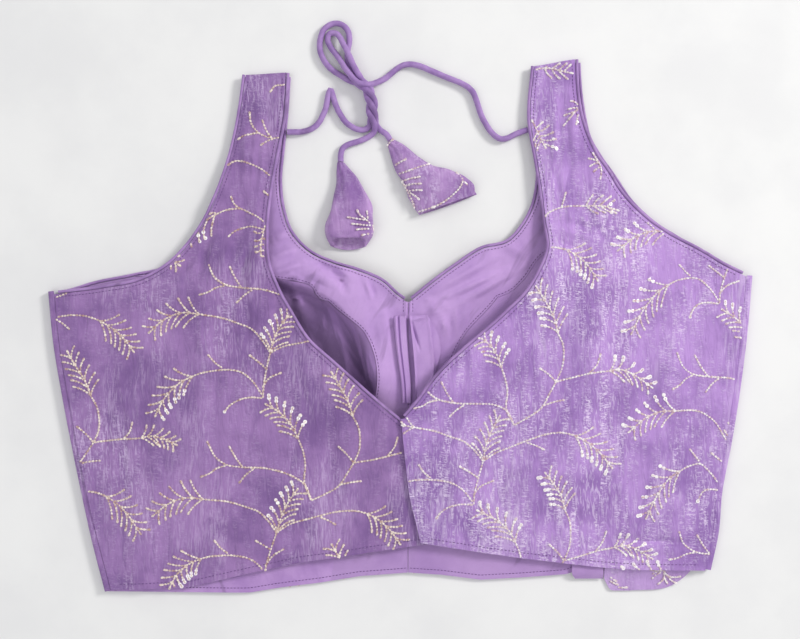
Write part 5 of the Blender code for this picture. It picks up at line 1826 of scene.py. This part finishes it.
def light(name, place, size, watts, colour):
    """A round soft light that looks at the blouse."""
    data = bpy.data.lights.new(name, "AREA")
    data.shape = "DISK"
    data.size = size
    data.energy = watts
    data.color = colour
    made = bpy.data.objects.new(name, data)
    made.location = place
    made.rotation_euler = (-Vector(place)).to_track_quat("-Z", "Y").to_euler()
    bpy.context.scene.collection.objects.link(made)


def surroundings():
    """The camera straight above, a pale studio round it, two lights and the floor."""
    scene = bpy.context.scene
    scene.view_settings.view_transform = "Standard"
    camera = bpy.data.objects.new("camera", bpy.data.cameras.new("camera"))
    camera.data.lens = 50.0
    camera.data.sensor_width = 36.0
    camera.location = (-0.0002, 0.00455, 0.7778)
    scene.collection.objects.link(camera)
    scene.camera = camera
    world = bpy.data.worlds.new("studio")
    world.use_nodes = True
    background = world.node_tree.nodes["Background"]
    background.inputs["Color"].default_value = (0.965, 0.97, 0.99, 1)
    background.inputs["Strength"].default_value = 0.68
    scene.world = world
    light("key", (1.6, 0.9, 1.25), 0.6, 30.0, (1.0, 0.985, 0.965))
    light("fill", (-1.0, -0.4, 1.5), 1.4, 5.0, (0.98, 0.99, 1.0))
    floor()


surroundings()
cone_left = tassel("tassel_left", TASSEL_LEFT, 41, 8.0, 2.5, TASSEL_LEFT_LINES)
cone_right = tassel("tassel_right", TASSEL_RIGHT, 43, 0.8, 0.6, TASSEL_RIGHT_LINES)
tie_cord(
    "tie_left",
    [CORD_LEFT, strand(0.0, False), LOOP_OUTER, strand(2 * np.pi / 3, True), TAIL_LEFT],
    ["cord_left", "loop_outer", "tail_left", "knot"],
)
tie_cord(
    "tie_right",
    [CORD_RIGHT, COLLAR, LOOP_INNER, strand(4 * np.pi / 3, True), TAIL_RIGHT],
    ["cord_right", "loop_inner", "tail_right"],
)
left_strap = (STRAP_LEFT, STRAP_LEFT_SEQUINS, STRAP_LEFT_FROM)
right_strap = (STRAP_RIGHT, STRAP_RIGHT_SEQUINS, STRAP_RIGHT_FROM)
left_vines = (VINES_LEFT, PULLS_LEFT, SEQUINS_LEFT, THREAD_LEFT, left_strap)
right_vines = (VINES_RIGHT, PULLS_RIGHT, SEQUINS_RIGHT, THREAD_RIGHT, right_strap)
front_panel("left", FRONT_LEFT, FRONT_LEFT_HEM, 1, TISSUE_LEFT_SHADED, left_vines)
front_panel("right", FRONT_RIGHT, FRONT_RIGHT_HEM, -1, TISSUE_RIGHT_LIT, right_vines)
placket("placket_left", PLACKET_LEFT, left_strip_relief)
placket("placket_right", PLACKET_RIGHT, right_flap_relief)
spare_cloth("seam_allowance", SEAM_ALLOWANCE, LINING_CLOTH)
spare_cloth("margin_flap", MARGIN_FLAP, TISSUE_FLAP, FLAP_LINES)
back_panel("left", BACK_LEFT, BACK_LEFT_HEM, 1, TISSUE_LEFT_SHADED, left_vines)
back_panel("right", BACK_RIGHT, BACK_RIGHT_HEM, -1, TISSUE_RIGHT_LIT, right_vines)
